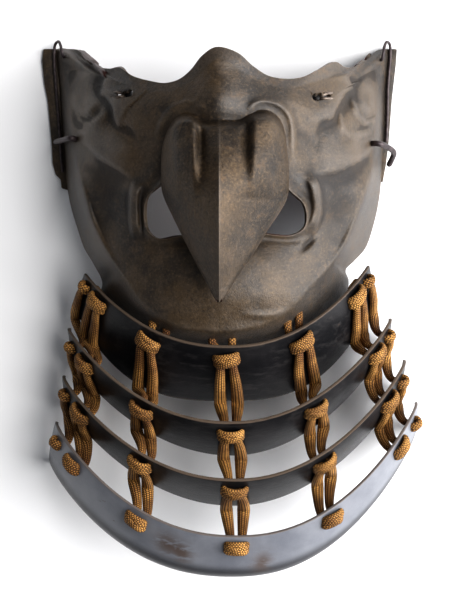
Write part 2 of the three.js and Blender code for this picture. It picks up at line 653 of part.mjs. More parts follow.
function addPiece(name, geometry, material) {
  const mesh = new THREE.Mesh(geometry, material);
  mesh.name = name;
  guard.add(mesh);
}

addPiece("mask_shell", makeShell(), RUSSET());
addPiece("beak", makeBeak(), RUSSET_BROWN());
LAMES.forEach((_, index) => addPiece(`lame_${index + 1}`, makeLame(index), BLACK_LACQUER()));
Object.keys(COLUMNS).forEach((name) => addPiece(`lacing_${name}`, makeLacing(name), BRAID()));
for (const side of ["left", "right"]) {
  addPiece(`guard_rod_${side}`, makeRod(side), DARK_IRON());
  addPiece(`cord_peg_${side}`, makePeg(side), DARK_IRON());
}
SLOTS.forEach((slot) => addPiece(`slot_pin_${slot.name}`, makePin(slot), DARK_IRON()));

// The origin is under the middle of the whole object, on the table.
const box = new THREE.Box3().setFromObject(guard);
const middle = box.getCenter(new THREE.Vector3());
guard.position.set(-middle.x, -middle.y, -box.min.z);
guard.updateMatrixWorld(true);

export default guard;
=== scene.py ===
# %% [markdown]
# # A crow-beaked face guard of russet iron, with its laced throat guard
#
# A Japanese armourer's half mask covers the nose, cheeks and chin. It is raised from one iron plate with
# hammers, so every form on it is a soft swelling or a crisp step in the same skin. A beak is fixed over
# the nose, and four narrow lames hang from the jaw on braided silk, so that the throat guard can fold as
# the wearer looks down. The guard lies on its back, and the camera looks straight down on it.
#
# The imported model is the frame that everything is fitted to. It is loaded first.

# %% Load the frame
import math

import bpy
import numpy as np
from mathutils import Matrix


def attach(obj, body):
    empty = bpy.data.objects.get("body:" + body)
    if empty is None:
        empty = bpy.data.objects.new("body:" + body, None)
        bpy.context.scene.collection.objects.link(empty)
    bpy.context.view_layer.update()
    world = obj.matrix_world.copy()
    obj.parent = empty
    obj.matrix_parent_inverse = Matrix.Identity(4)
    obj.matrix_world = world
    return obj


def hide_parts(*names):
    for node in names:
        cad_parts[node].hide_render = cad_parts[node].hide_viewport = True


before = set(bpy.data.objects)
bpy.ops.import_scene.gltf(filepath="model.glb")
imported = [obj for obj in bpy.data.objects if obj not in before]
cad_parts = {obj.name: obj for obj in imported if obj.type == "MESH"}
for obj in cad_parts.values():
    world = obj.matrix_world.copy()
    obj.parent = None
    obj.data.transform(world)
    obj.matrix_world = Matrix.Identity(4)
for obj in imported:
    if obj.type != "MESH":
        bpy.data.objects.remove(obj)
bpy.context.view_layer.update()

# %% [markdown]
# ## Camera
#
# The guard is seen from straight above, from about three quarters of a metre, with a lens long enough to
# keep the mask's depth from swelling its middle. A camera that isn't turned looks straight down with +Y up
# in the picture. The mask's drawing has its zero on the mask's own middle, and the frame has its zero under
# the middle of the whole guard, so one small shift turns drawing millimetres into frame millimetres. The
# camera stands over the drawing's zero.

# %% The drawing's zero, and the camera over it
MM = 0.001
DRAWING_SHIFT = np.array([-2.36, -0.97, 0.0])
CAMERA_HEIGHT = 760.0
CAMERA_LENS = 87.0
SENSOR_WIDTH = 36.0


def in_frame(points):
    """Drawing millimetres to the frame's metres."""
    return (np.asarray(points, float) + DRAWING_SHIFT) * MM


scene = bpy.context.scene
camera_data = bpy.data.cameras.new("camera_above")
camera_data.lens = CAMERA_LENS
camera_data.sensor_width = SENSOR_WIDTH
camera = bpy.data.objects.new("camera_above", camera_data)
camera.location = in_frame([0, 0, CAMERA_HEIGHT])
scene.collection.objects.link(camera)
scene.camera = camera
print("camera at, mm:", [round(1000 * v) for v in camera.location])

# %% [markdown]
# ## Ways of working
#
# Most pieces here are sheets: plates, or the skins of cords. A flat grid is added, every point of it is
# moved to where the sheet's formula says, and modifiers give it a wall. That keeps clean rows of faces
# along the form, which a sculpted mesh wouldn't have. Each operator works on what is selected, so
# everything is deselected before a primitive is added.

# %% Points in and out of a mesh
def read_points(piece):
    flat = np.empty(len(piece.data.vertices) * 3)
    piece.data.vertices.foreach_get("co", flat)
    return flat.reshape(-1, 3)


def write_points(piece, points):
    piece.data.vertices.foreach_set("co", np.ascontiguousarray(points).ravel())
    piece.data.update()


def write_attribute(piece, name, values):
    layer = piece.data.attributes.new(name, "FLOAT", "POINT")
    layer.data.foreach_set("value", np.ascontiguousarray(values, float).ravel())


def keep_above_table(piece):
    """Lifts the points that have come below the table onto it."""
    points = read_points(piece)
    points[:, 2] = np.maximum(points[:, 2], 0)
    write_points(piece, points)


# %% A flat grid bent to a formula
def whole(share, count):
    """The number of the row or column that lies at a share of the way over count of them."""
    return np.round(share * count).astype(int)


def bent_grid(name, columns, rows, shape):
    """A grid whose points are moved to shape(u, v), in drawing millimetres, with u and v from 0 to 1."""
    bpy.ops.object.select_all(action="DESELECT")
    bpy.ops.mesh.primitive_grid_add(x_subdivisions=columns, y_subdivisions=rows, size=2)
    piece = bpy.context.active_object
    piece.name = name
    piece.data.name = name
    flat = read_points(piece)
    u = np.round((flat[:, 0] + 1) / 2 * columns) / columns
    v = np.round((flat[:, 1] + 1) / 2 * rows) / rows
    write_points(piece, in_frame(shape(u, v)))
    return piece, u, v


def make_active(piece):
    bpy.ops.object.select_all(action="DESELECT")
    piece.select_set(True)
    bpy.context.view_layer.objects.active = piece


MERGE_REACH = 0.000001


def close_up(piece):
    """Merges points that meet, such as a seam or a pole, and turns all faces outwards."""
    make_active(piece)
    bpy.ops.object.mode_set(mode="EDIT")
    bpy.ops.mesh.select_all(action="SELECT")
    bpy.ops.mesh.remove_doubles(threshold=MERGE_REACH)
    bpy.ops.mesh.normals_make_consistent(inside=False)
    bpy.ops.object.mode_set(mode="OBJECT")


def with_modifier(piece, kind, **settings):
    make_active(piece)
    modifier = piece.modifiers.new(kind.lower(), kind)
    for key, value in settings.items():
        setattr(modifier, key, value)
    bpy.ops.object.modifier_apply(modifier=modifier.name)


def dress(piece, *materials):
    piece.data.materials.clear()
    for material in materials:
        piece.data.materials.append(material)


def plate(piece, wall, outer, inner):
    """Gives a skin its two materials, and a wall on its inner side."""
    dress(piece, outer, inner)
    with_modifier(piece, "SOLIDIFY", thickness=wall * MM, offset=-1.0, material_offset=1)


def joined(pieces):
    """All the pieces as one, which is the first of them."""
    make_active(pieces[0])
    for piece in pieces[1:]:
        piece.select_set(True)
    bpy.ops.object.join()
    return pieces[0]


def claim(piece, node, sharp_angle):
    """The piece, smooth up to an angle, stands for one node of the model, and rides on its one body."""
    make_active(piece)
    bpy.ops.object.shade_smooth_by_angle(angle=math.radians(sharp_angle))
    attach(piece, "root")
    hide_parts(node)


# %% Smooth lines and soft steps
def unit(vectors):
    return vectors / np.linalg.norm(vectors, axis=-1, keepdims=True)


def smoothstep(low, high, value):
    t = np.clip((value - low) / (high - low), 0, 1)
    return t * t * (3 - 2 * t)


def bell(value, width, power=2):
    """1 where the value is 0, and falling to nothing within about two widths."""
    return np.exp(-((value / width) ** power))


def apart(ends, starts):
    return np.linalg.norm(ends - starts, axis=1, keepdims=True)


def smooth_line(points, steps, closed=False):
    """A centripetal Catmull-Rom line through the points, with steps pieces to each stretch."""
    p = np.asarray(points, float)
    if closed:
        corners = np.concatenate([p[-1:], p, p[:2]])
    else:
        corners = np.concatenate([[2 * p[0] - p[1]], p, [2 * p[-1] - p[-2]]])
    a, b, c, d = corners[:-3], corners[1:-2], corners[2:-1], corners[3:]
    before, within, after = (apart(*pair) ** 0.5 for pair in ((b, a), (c, b), (d, c)))
    leave = ((b - a) / before - (c - a) / (before + within) + (c - b) / within) * within
    arrive = ((c - b) / within - (d - b) / (within + after) + (d - c) / after) * within
    t = np.arange(steps)[None, :, None] / steps
    b, c, leave, arrive = (q[:, None, :] for q in (b, c, leave, arrive))
    squared = 3 * (c - b) - 2 * leave - arrive
    cubed = 2 * (b - c) + leave + arrive
    line = b + leave * t + squared * t**2 + cubed * t**3
    line = line.reshape(-1, p.shape[1])
    return line if closed else np.concatenate([line, p[-1:]])


def walked_along(line):
    return np.concatenate([[0], np.cumsum(np.linalg.norm(np.diff(line, axis=0), axis=1))])


def evenly(line, pitch):
    """The line again, with its points a pitch apart, and each point's distance along it."""
    run = walked_along(line)
    count = max(int(round(run[-1] / pitch)), 2)
    at = np.linspace(0, run[-1], count + 1)
    return np.stack([np.interp(at, run, line[:, k]) for k in range(line.shape[1])], axis=1), at


def round_ends(walked, radius):
    """How full a tube is along its way: 1, and down to 0 over a round end of this radius."""
    from_end = np.minimum(walked, walked[-1] - walked)
    return np.sqrt(np.clip(1 - (1 - np.minimum(from_end / radius, 1)) ** 2, 0, 1))


# %% [markdown]
# ## Finishes
#
# Each finish is worked out from noise at several sizes, because old iron varies at every size: patches as
# wide as a thumb, mottling of a few millimetres, and a fine grain. Sums on those values are written as
# plain expressions. For that a small class wraps a socket, so that adding or multiplying two of them makes
# the Math node. Distances are in millimetres: each finish starts from the object's own coordinates times a
# thousand.

# %% A value in a finish
class Flow:
    """A value on its way through a finish's nodes. Arithmetic on it makes Math nodes."""

    def __init__(self, finish, socket):
        self.finish = finish
        self.socket = socket

    def maths(self, operation, *others, clamp=False):
        settings = {"operation": operation, "use_clamp": clamp}
        return self.finish.node("ShaderNodeMath", settings, dict(enumerate((self, *others))))

    def __add__(self, other):
        return self.maths("ADD", other)

    def __sub__(self, other):
        return self.maths("SUBTRACT", other)

    def __mul__(self, other):
        return self.maths("MULTIPLY", other)

    __radd__ = __add__
    __rmul__ = __mul__

    def limited(self):
        return self.maths("ADD", 0.0, clamp=True)

    def step(self, low, high):
        """0 below low, 1 above high, and a soft rise between."""
        settings = {"interpolation_type": "SMOOTHSTEP"}
        inputs = {"Value": self, "From Min": low, "From Max": high}
        return self.finish.node("ShaderNodeMapRange", settings, inputs)


# %% A finish
class Finish:
    """A material under construction, with its shader and its place in millimetres."""

    def __init__(self, name):
        self.material = bpy.data.materials.new(name)
        self.material.use_nodes = True
        self.tree = self.material.node_tree
        self.shader = self.tree.nodes["Principled BSDF"]
        place = self.node("ShaderNodeTexCoord", output="Object")
        self.place = self.node("ShaderNodeVectorMath", {"operation": "SCALE"}, {0: place, "Scale": 1000.0})

    def node(self, kind, settings=None, inputs=None, output=0):
        made = self.tree.nodes.new(kind)
        for key, value in (settings or {}).items():
            setattr(made, key, value)
        for key, value in (inputs or {}).items():
            self.feed(made.inputs[key], value)
        return Flow(self, made.outputs[output])

    def feed(self, socket, value):
        if isinstance(value, Flow):
            self.tree.links.new(value.socket, socket)
        else:
            socket.default_value = value

    def noise(self, size, detail, rough=0.55, stretch=None):
        """Noise whose main lumps are about size millimetres across."""
        place = self.place
        if stretch:
            place = self.node("ShaderNodeVectorMath", {"operation": "MULTIPLY"}, {0: place, 1: stretch})
        inputs = {"Vector": place, "Scale": 1 / size, "Detail": detail, "Roughness": rough}
        return self.node("ShaderNodeTexNoise", {}, inputs)

    def kept(self, name):
        """The value that the mesh keeps at each point under this name."""
        return self.node("ShaderNodeAttribute", {"attribute_name": name}, output="Fac")

    def blend(self, factor, first, second):
        """The first colour where the factor is 0, and the second where it is 1."""
        settings = {"data_type": "RGBA"}
        return self.node("ShaderNodeMix", settings, {0: factor, 6: first, 7: second}, output=2)

    def layered(self, ground, *layers):
        """The ground colour under named layers. Each has the share of it that shows, and its colour."""
        for name, share, over in layers:
            ground = self.blend(share, ground, colour(*over))
            ground.socket.node.label = name
        return ground

    def relief(self, height, depth):
        """Small relief of the surface: height from 0 to 1, depth in millimetres."""
        inputs = {"Height": height, "Distance": depth * MM, "Strength": 1.0}
        return self.node("ShaderNodeBump", {}, inputs)

    def surface(self, **sockets):
        for name, value in sockets.items():
            self.feed(self.shader.inputs[name.replace("_", " ")], value)
        return self.material


def colour(red, green, blue):
    return (red, green, blue, 1.0)


# %% [markdown]
# ### Russet iron
#
# Russet iron was rusted on purpose, then rubbed and lacquered. Its colour is laid on in the same order: a
# patchy brown ground, mottling and specks of rust over it, then the wear. The mesh keeps how far each point
# stands out from the metal round it, as **relief_light_and_shade**: what stands out is painted lighter, as a
# painted highlight, and the hollows darker, partly dirt and partly painted shade. It also keeps the bare
# rims, and the greyer jaw flange. The beak's plate is grainier, warmer and shinier than the mask's, and
# there the attribute paints a highlight along the ridge and down the bill. Both come from one recipe.

# %% Russet iron
def russet_iron(name, warm, grain, metallic):
    finish = Finish(name)
    patches = finish.noise(34, 5, 0.6)
    mottle = finish.noise(7, 5, 0.65)
    speckle = finish.noise(1.4, 4, 0.7)
    fine = finish.noise(0.5, 3, 0.7)
    edges = (finish.kept("rim") * (0.4 + mottle)).step(0.25, 0.95)
    relief_light_and_shade = finish.kept("relief_light_and_shade")
    # Hollows: darker colour, partly dirt and partly painted shade, and rougher.
    hollow = (relief_light_and_shade * -1.0).step(0.0, 0.7)
    crest = relief_light_and_shade.step(0.1, 1.0)
    patina = finish.layered(
        colour(0.021, 0.016, 0.012),
        ("brown patches", patches.step(0.38, 0.62), (0.074, 0.047, 0.023)),
        ("grey flange", finish.kept("flange") * 0.45, (0.060, 0.055, 0.053)),
        ("rubbed places", mottle.step(0.42, 0.68) * 0.5, (0.084, 0.064, 0.047)),
        ("rust", mottle.step(0.54, 0.74) * warm, (0.110, 0.062, 0.025)),
        ("light grains", speckle.step(0.50, 0.72) * grain, (0.140, 0.095, 0.055)),
        ("dark pits", speckle.step(0.50, 0.30) * grain, (0.014, 0.010, 0.008)),
        ("worn rims", edges * 0.3, (0.14, 0.095, 0.06)),
        # Painted shade and dirt: the hollows are darkened, partly as dirt and partly as the shade that falls
        # in them.
        ("dirt and painted shade in the hollows", hollow * 0.62, (0.009, 0.007, 0.007)),
        # Painted highlight: what stands out, and the edges of its steps, is lightened.
        ("painted highlight where it stands out", crest * (0.1 + mottle * 0.6), (0.135, 0.108, 0.085)),
        ("grit", fine.step(0.42, 0.64) * 0.4, (0.019, 0.014, 0.011)),
    )
    return finish.surface(
        Base_Color=patina,
        Metallic=metallic,
        IOR=1.5,
        Roughness=(0.34 + mottle * 0.16 + speckle * 0.08 + hollow * 0.2).limited(),
        Normal=finish.relief(fine * 0.6 + speckle * 0.9 + mottle * 0.5, 0.12 + 0.25 * grain),
    )


def red_lacquer():
    finish = Finish("inner_red_lacquer")
    patches = finish.noise(22, 4, 0.6)
    grime = finish.blend(patches.step(0.35, 0.7), colour(0.055, 0.018, 0.013), colour(0.022, 0.011, 0.009))
    return finish.surface(
        Base_Color=grime,
        Roughness=(0.28 + patches * 0.25).limited(),
        Normal=finish.relief(finish.noise(9, 3), 0.25),
    )


mask_iron = russet_iron("russet_iron_of_mask", warm=0.45, grain=0.55, metallic=0.2)
beak_iron = russet_iron("russet_iron_of_beak", warm=0.75, grain=0.75, metallic=0.55)
inner_lacquer = red_lacquer()
print("iron:", mask_iron.name, beak_iron.name)

# %% [markdown]
# ### Black lacquer
#
# The lames are black, with a soft gloss that fine scratches along the lame break up. The lacquer has gone
# at the edges, where brown iron shows. The lowest lame has a painted sheen, a grey-blue colour that stands
# for the light it reflects, painted shade on its rolled edge, and a few patches that are worn through, which
# its mesh keeps.

# %% Black lacquer
def black_lacquer(name, painted_sheen):
    finish = Finish(name)
    clouds = finish.noise(20, 5, 0.6)
    scuffs = finish.noise(6, 6, 0.7, stretch=(0.25, 1.5, 1.2))
    fine = finish.noise(0.8, 3, 0.6)
    black = finish.layered(
        colour(0.006, 0.006, 0.007),
        ("clouds", clouds.step(0.35, 0.7), (0.015, 0.014, 0.015)),
        ("scuffs", scuffs.step(0.50, 0.62) * 0.6, (0.028, 0.026, 0.026)),
    )
    # Painted sheen: a grey-blue colour stands for the light that the lowest lame reflects.
    painted_sheen_grey = finish.blend(clouds.step(0.2, 0.8), colour(0.125, 0.132, 0.155), colour(0.205, 0.212, 0.235))
    in_patch = finish.kept("patch") * clouds.step(0.40, 0.5) * scuffs.step(0.42, 0.54)
    rubbed = (in_patch + scuffs.step(0.66, 0.72) * 0.7).limited()
    bare = (finish.kept("rim") * (0.35 + scuffs * 1.3)).step(0.45, 0.95)
    worn = finish.layered(
        finish.blend(painted_sheen, black, painted_sheen_grey),
        # Painted shade: the rolled edge is darkened where it turns away from the light.
        ("rolled edge", finish.kept("painted_roll_shade") * 0.92, (0.02, 0.02, 0.024)),
        ("rubbed through", rubbed * 0.85, (0.075, 0.045, 0.030)),
        ("bare rims", bare * 0.7, (0.13, 0.095, 0.07)),
    )
    return finish.surface(
        Base_Color=worn,
        Metallic=0.0,
        Specular_IOR_Level=0.16 + 0.34 * painted_sheen,
        Roughness=(0.24 + scuffs * 0.3 + bare * 0.2).limited(),
        Normal=finish.relief(fine * 0.5 + scuffs, 0.12),
    )


# The lowest lame is the same lacquer with a painted sheen.
dark_lame = black_lacquer("black_lacquer_of_lames", painted_sheen=0.0)
painted_sheen_lame = black_lacquer("lacquer_of_lowest_lame_with_painted_sheen", painted_sheen=1.0)
print("lacquer:", inner_lacquer.name, dark_lame.name, painted_sheen_lame.name)

# %% [markdown]
# ### Silk braid and small iron
#
# The braid is gold-brown on the crests of its strands, with painted shade nearly black between them, and
# dirtier in some places than others. The mesh keeps where each point lies across the cord and along it, so
# the colour finds each rib and each stitch of it, and where the cord swells: there it is painted lighter,
# and where it thins into a hole it is painted darker, as painted shade. The small iron is dark wire, and a
# pin's loop is painted black inside a slot, as the slot's shade.

# %% Silk braid
RIBS = 7
STITCH = 1.15


def silk_braid():
    finish = Finish("golden_braid")
    soil = finish.noise(13, 4, 0.6)
    threads = finish.noise(0.5, 3, 0.7)
    turn = finish.kept("across").maths("ARCCOSINE")
    rib_number = (turn * (RIBS / math.pi)).maths("FLOOR")
    rib = (turn * RIBS).maths("SINE").maths("ABSOLUTE")
    stitch = (finish.kept("walked") * (2 * math.pi / STITCH) + rib_number * math.pi).maths("SINE")
    crest = rib * (0.62 + stitch * 0.38) + threads * 0.4 - 0.2
    # Dirt and painted light: the soil noise is dirt; the kept share paints the cord lighter where it swells
    # over a lame's low edge, and darker where it goes into the shade of a hole.
    clean_and_lit = soil.step(0.36, 0.68) * 0.65 + finish.kept("clean_and_lit").step(0.0, 0.9) * 0.3
    gold = finish.blend(clean_and_lit.limited(), colour(0.19, 0.082, 0.028), colour(0.80, 0.42, 0.12))
    # Painted shade: nearly black between the ribs and stitches, where shade falls among the strands.
    shaded = finish.blend(crest.step(0.12, 0.70), colour(0.020, 0.009, 0.006), gold)
    return finish.surface(
        Base_Color=shaded,
        Roughness=0.7,
        Specular_IOR_Level=0.2,
        Normal=finish.relief(crest, 0.35),
    )


# %% Small iron
def small_iron(name, base, lit, metallic):
    finish = Finish(name)
    mottle = finish.noise(3, 5, 0.6)
    mottled = finish.blend(mottle.step(0.35, 0.7), base, lit)
    # Painted shade: where the mesh keeps "inside", the iron is painted nearly black, as the shade inside a
    # slot.
    return finish.surface(
        Base_Color=finish.blend(finish.kept("inside"), mottled, colour(0.008, 0.007, 0.007)),
        Metallic=metallic,
        Roughness=(0.38 + mottle * 0.25).limited(),
        Normal=finish.relief(mottle, 0.15),
    )


braid = silk_braid()
wire_iron = small_iron("dark_iron_wire", colour(0.035, 0.026, 0.028), colour(0.085, 0.065, 0.065), 0.5)
pin_iron = small_iron("rubbed_iron_pins", colour(0.10, 0.075, 0.06), colour(0.24, 0.195, 0.16), 0.5)
print("small things:", braid.name, wire_iron.name, pin_iron.name)

# %% [markdown]
# ## The face's main form
#
# The height of the face above the table is one formula: a profile down the middle from nose bridge to chin,
# falling away to each side as a parabola, with a dome for the nose bridge and a hollow at the mouth. The
# table of the middle's heights is short, and a soft step joins one height to the next. The CAD shell was
# shaped with the same numbers, so the skin lies where the solid does before the relief is added.

# %% Height of the face
MIDDLE_PROFILE = [(-26, 69), (-16, 74), (5, 79), (30, 81), (60, 88), (90, 90), (110, 84), (134, 73)]
FACE_CENTRE_X = -1.5
CHEEK_FALL_LOW = 0.0084
CHEEK_FALL_HIGH = 0.0112
CHEEK_FALL_TURNS = (50, 80)
LOWEST = 2.0
# A dome: its centre, its reach across and along, and its height.
NOSE_BRIDGE = ((-3, 112), 13, 26, 6)
MOUTH_HOLLOW = ((0, 33), 34, 13, -9)
BRIDGE_SWELLING = ((-2.7, 90), 9, 14, 3.0)  # where the beak's ridge runs out into the bridge


def along_profile(profile, at):
    height = np.full(np.shape(at), float(profile[0][1]))
    for (y0, z0), (y1, z1) in zip(profile, profile[1:]):
        height = np.where(at > y0, z0 + (z1 - z0) * smoothstep(y0, y1, at), height)
    return height


def dome(x, y, centre, wide, long, high):
    return high * np.exp(-(((x - centre[0]) / wide) ** 2) - ((y - centre[1]) / long) ** 2)


def face_height(x, y):
    fall = CHEEK_FALL_LOW + (CHEEK_FALL_HIGH - CHEEK_FALL_LOW) * smoothstep(*CHEEK_FALL_TURNS, y)
    form = along_profile(MIDDLE_PROFILE, y) - fall * (x - FACE_CENTRE_X) ** 2
    form = form + dome(x, y, *NOSE_BRIDGE) + dome(x, y, *MOUTH_HOLLOW)
    return np.maximum(form, LOWEST)


print("middle of the nose, mm:", round(float(face_height(np.array(0.0), np.array(90.0))), 1))

# %% [markdown]
# ## The relief
#
# The armourer chased the cheeks from both sides: a flat plate under the eye that ends in a crisp step, a
# rounded pouch over the cheekbone, a boss at the outer corner with a curl round it, and a crescent fold
# beside the mouth. The crisp forms are drawn as lines over the face. A **ridge** is a swelling along its
# line, and a **shelf** lifts the ground on the line's left hand and lets it sink back further away. Both
# come from the distance of each point to the line, so they could be moved or made deeper without touching
# the mesh. The broad forms are **pads**, flat on top with steep sides, and **domes**. The two sides of this
# mask were never quite alike, so each side has forms of its own.

# %% Distance to a drawn line
PAD_FLATNESS = 1.8


def beside(line, x, y):
    """Distance to the line, which side (positive on its left hand), and how far along it, from 0 to 1."""
    line = smooth_line(line, 6)
    lengths = np.linalg.norm(np.diff(line, axis=0), axis=1)
    total = lengths.sum()
    nearest = np.full(x.shape, np.inf)
    side = np.zeros(x.shape)
    along = np.zeros(x.shape)
    walked = 0.0
    for a, step, length in zip(line, np.diff(line, axis=0), lengths):
        t = np.clip(((x - a[0]) * step[0] + (y - a[1]) * step[1]) / length**2, 0, 1)
        away_x = x - a[0] - t * step[0]
        away_y = y - a[1] - t * step[1]
        away = np.hypot(away_x, away_y)
        closer = away < nearest
        nearest = np.where(closer, away, nearest)
        side = np.where(closer, np.sign(step[0] * away_y - step[1] * away_x), side)
        along = np.where(closer, (walked + t * length) / total, along)
        walked += length
    return nearest, side, along


def pad(x, y, centre, long, wide, high, turn):
    """A flat-topped swelling, its long way turned by an angle in degrees."""
    turn = math.radians(turn)
    off_x = x - centre[0]
    off_y = y - centre[1]
    a = (off_x * math.cos(turn) + off_y * math.sin(turn)) / long
    b = (off_y * math.cos(turn) - off_x * math.sin(turn)) / wide
    return high * bell(a**2 + b**2, 1, PAD_FLATNESS)


def ends(along, start, finish):
    fade_in = smoothstep(0, start, along) if start else 1.0
    fade_out = smoothstep(0, finish, 1 - along) if finish else 1.0
    return fade_in * fade_out


def ridge(x, y, line, wide, high, start, finish, flat=2):
    away, _, along = beside(line, x, y)
    return high * bell(away, wide, flat) * ends(along, start, finish)


def shelf(x, y, line, high, soft, reach, start, finish):
    away, side, along = beside(line, x, y)
    signed = away * side
    sinks_back = bell(np.maximum(signed, 0), reach)
    return high * smoothstep(-soft, soft, signed) * sinks_back * ends(along, start, finish)


# %% The forms of the relief, in drawing millimetres
RELIEF_DEPTH = 1.5
SHELVES = [
    # The plate under each eye.
    dict(high=2.2, soft=1.3, reach=15, start=0.3, finish=0, line=[
        (42, 75), (44, 81.3), (46, 84.9), (51.8, 87.6), (54.5, 92.9), (56.2, 96.3), (59.7, 101.7),
        (63.8, 105.7), (61.6, 109.3), (58.4, 115), (55, 122),
    ]),
    dict(high=2.4, soft=1.3, reach=15, start=0, finish=0.3, line=[
        (-51, 119), (-54.5, 112.5), (-59, 108.2), (-61, 100.8), (-58.1, 98.2), (-54.7, 93.5), (-53.1, 86.9),
        (-51, 83.7), (-46.9, 83.2), (-43.3, 80), (-41.8, 74.1),
    ]),
    # The lower edge of each pouch.
    dict(high=2.0, soft=1.7, reach=11, start=0.35, finish=0.25, line=[
        (37.9, 60.6), (45.3, 59.7), (53.1, 61.3), (61.3, 65.7), (70.1, 72.1), (77.6, 81.7),
    ]),
    dict(high=2.2, soft=1.7, reach=11, start=0.2, finish=0.4, line=[
        (-75.5, 85), (-66.2, 74.5), (-58.8, 67.5), (-50.3, 61.5), (-41, 56),
    ]),
]
RIDGES = [
    # The curl round each boss, and the outer curl beyond it.
    dict(wide=1.5, high=1.3, start=0.3, finish=0.3, line=[
        (62.6, 104.5), (63.4, 96.1), (66.2, 90.5), (70.9, 88.4), (76.3, 91.1), (79.6, 96.1),
    ]),
    dict(wide=1.5, high=1.3, start=0.3, finish=0.3, line=[
        (-79.5, 107), (-74.1, 96.7), (-69.2, 92), (-64.1, 94.6), (-61.5, 99.5),
    ]),
    dict(wide=1.4, high=1.1, start=0.3, finish=0.3, line=[
        (56.8, 98), (56.1, 87.8), (58.3, 82.3), (61.6, 80.9), (66.2, 81.6), (73.9, 86), (78.2, 91.5),
    ]),
    dict(wide=1.4, high=1.0, start=0.3, finish=0.3, line=[
        (-76.8, 96.5), (-71.5, 89), (-65.5, 85.7), (-59, 89.5), (-58.8, 95),
    ]),
    # The fold beside each corner of the mouth, and the groove inside it.
    dict(wide=2.7, high=2.2, flat=4, start=0.25, finish=0.3, line=[
        (39, 61), (42.3, 54.5), (43.9, 47.7), (44.1, 41.7), (42.3, 35.5), (39.3, 29.7),
    ]),
    dict(wide=2.7, high=2.2, flat=4, start=0.25, finish=0.3, line=[
        (-40.8, 57), (-43, 50.5), (-43.6, 43), (-43.2, 35.4), (-41, 29),
    ]),
    dict(wide=1.6, high=-1.3, start=0.5, finish=0.5, line=[
        (43.5, 33), (41.5, 28.9), (38.8, 26.3), (34.8, 22),
    ]),
    dict(wide=1.4, high=-1.0, start=0.5, finish=0.5, line=[
        (-38.6, 55), (-40.2, 48), (-40.3, 41), (-39.8, 33), (-37.5, 25),
    ]),
    # The arch over each lobe of the beak.
    dict(wide=1.6, high=1.1, start=0.12, finish=0.3, line=[
        (10.6, 85), (12.5, 89.8), (16.3, 92.2), (21.9, 92.2), (26.6, 90.2), (30.3, 86), (31.6, 79.9),
        (32, 70.6), (32.6, 62),
    ]),
    dict(wide=1.5, high=0.6, start=0.12, finish=0.3, line=[
        (-9.5, 86.5), (-12, 90), (-16.2, 91.4), (-21.9, 90.6), (-27, 87.3), (-30.3, 81.9), (-31.6, 72),
    ]),
    # A low ridge across the chin.
    dict(wide=1.6, high=0.7, start=0.4, finish=0.4, line=[(4.7, -6.6), (19, -7.1), (35.9, -4.8)]),
]
# Pads of the pouches, the bosses and the curls: centre, half length, half width, height, turn in degrees.
PADS = [
    ((59, 76), 17, 10.5, 3.8, 30),
    ((-60, 76), 17, 10.5, 4.2, -33),
    ((72, 102), 11, 7.5, 3.2, 80),
    ((-71, 104), 13, 8, 3.4, -80),
    ((65, 91), 9, 6, 2.6, 40),
    ((-63, 93), 9, 6, 2.8, -50),
]
# The hollows of the cheeks, the swellings of bridge and chin, and the hollows beside the bridge.
DOMES = [
    ((55, 45), 9, 20, -3.2),
    ((-57, 48), 10, 21, -4.4),
    BRIDGE_SWELLING,
    ((-2, 6), 26, 13, 1.6),
    ((15, 106), 9, 16, -0.8),
    ((-21, 104), 9, 16, -1.2),
]


def relief(x, y):
    crisp = [shelf(x, y, **drawn) for drawn in SHELVES] + [ridge(x, y, **drawn) for drawn in RIDGES]
    broad = [pad(x, y, *form) for form in PADS] + [dome(x, y, *form) for form in DOMES]
    return RELIEF_DEPTH * sum(crisp) + sum(broad)


# Hammer waves: each one's length and heading, their height, and how the face's own height shifts them.
WAVES = [(23, 0.4), (17, 1.9), (12, 3.1), (8.5, 4.4), (6.1, 5.6)]
WAVE_HIGH = 0.16
WAVE_RISE = 0.7
WAVE_SHIFT = 1.7


def hammered(x, y, z):
    """The plate is never quite even: the hammer leaves shallow waves, a quarter of a millimetre deep."""
    waves = np.zeros(x.shape)
    for k, (length, turn) in enumerate(WAVES):
        heading = math.cos(turn) * x + math.sin(turn) * y + WAVE_RISE * z
        waves += np.sin(2 * math.pi * heading / length + WAVE_SHIFT * k) / (k + 2)
    return WAVE_HIGH * waves


# %% [markdown]
# ## The mask's skin
#
# Three closed outlines fix the mask: its outer edge, the crease where the face turns down into the jaw
# flange, and the one hole for the nose and mouth. Spokes run from the hole over the face to the crease and
# down to the edge. They all leave one point inside the hole, from which every outline is seen whole. A grid
# with its two ends joined follows them. It is then smoothed a little across the crease, because a hammered
# corner is never sharp. An outline's point with a third number states its own height.

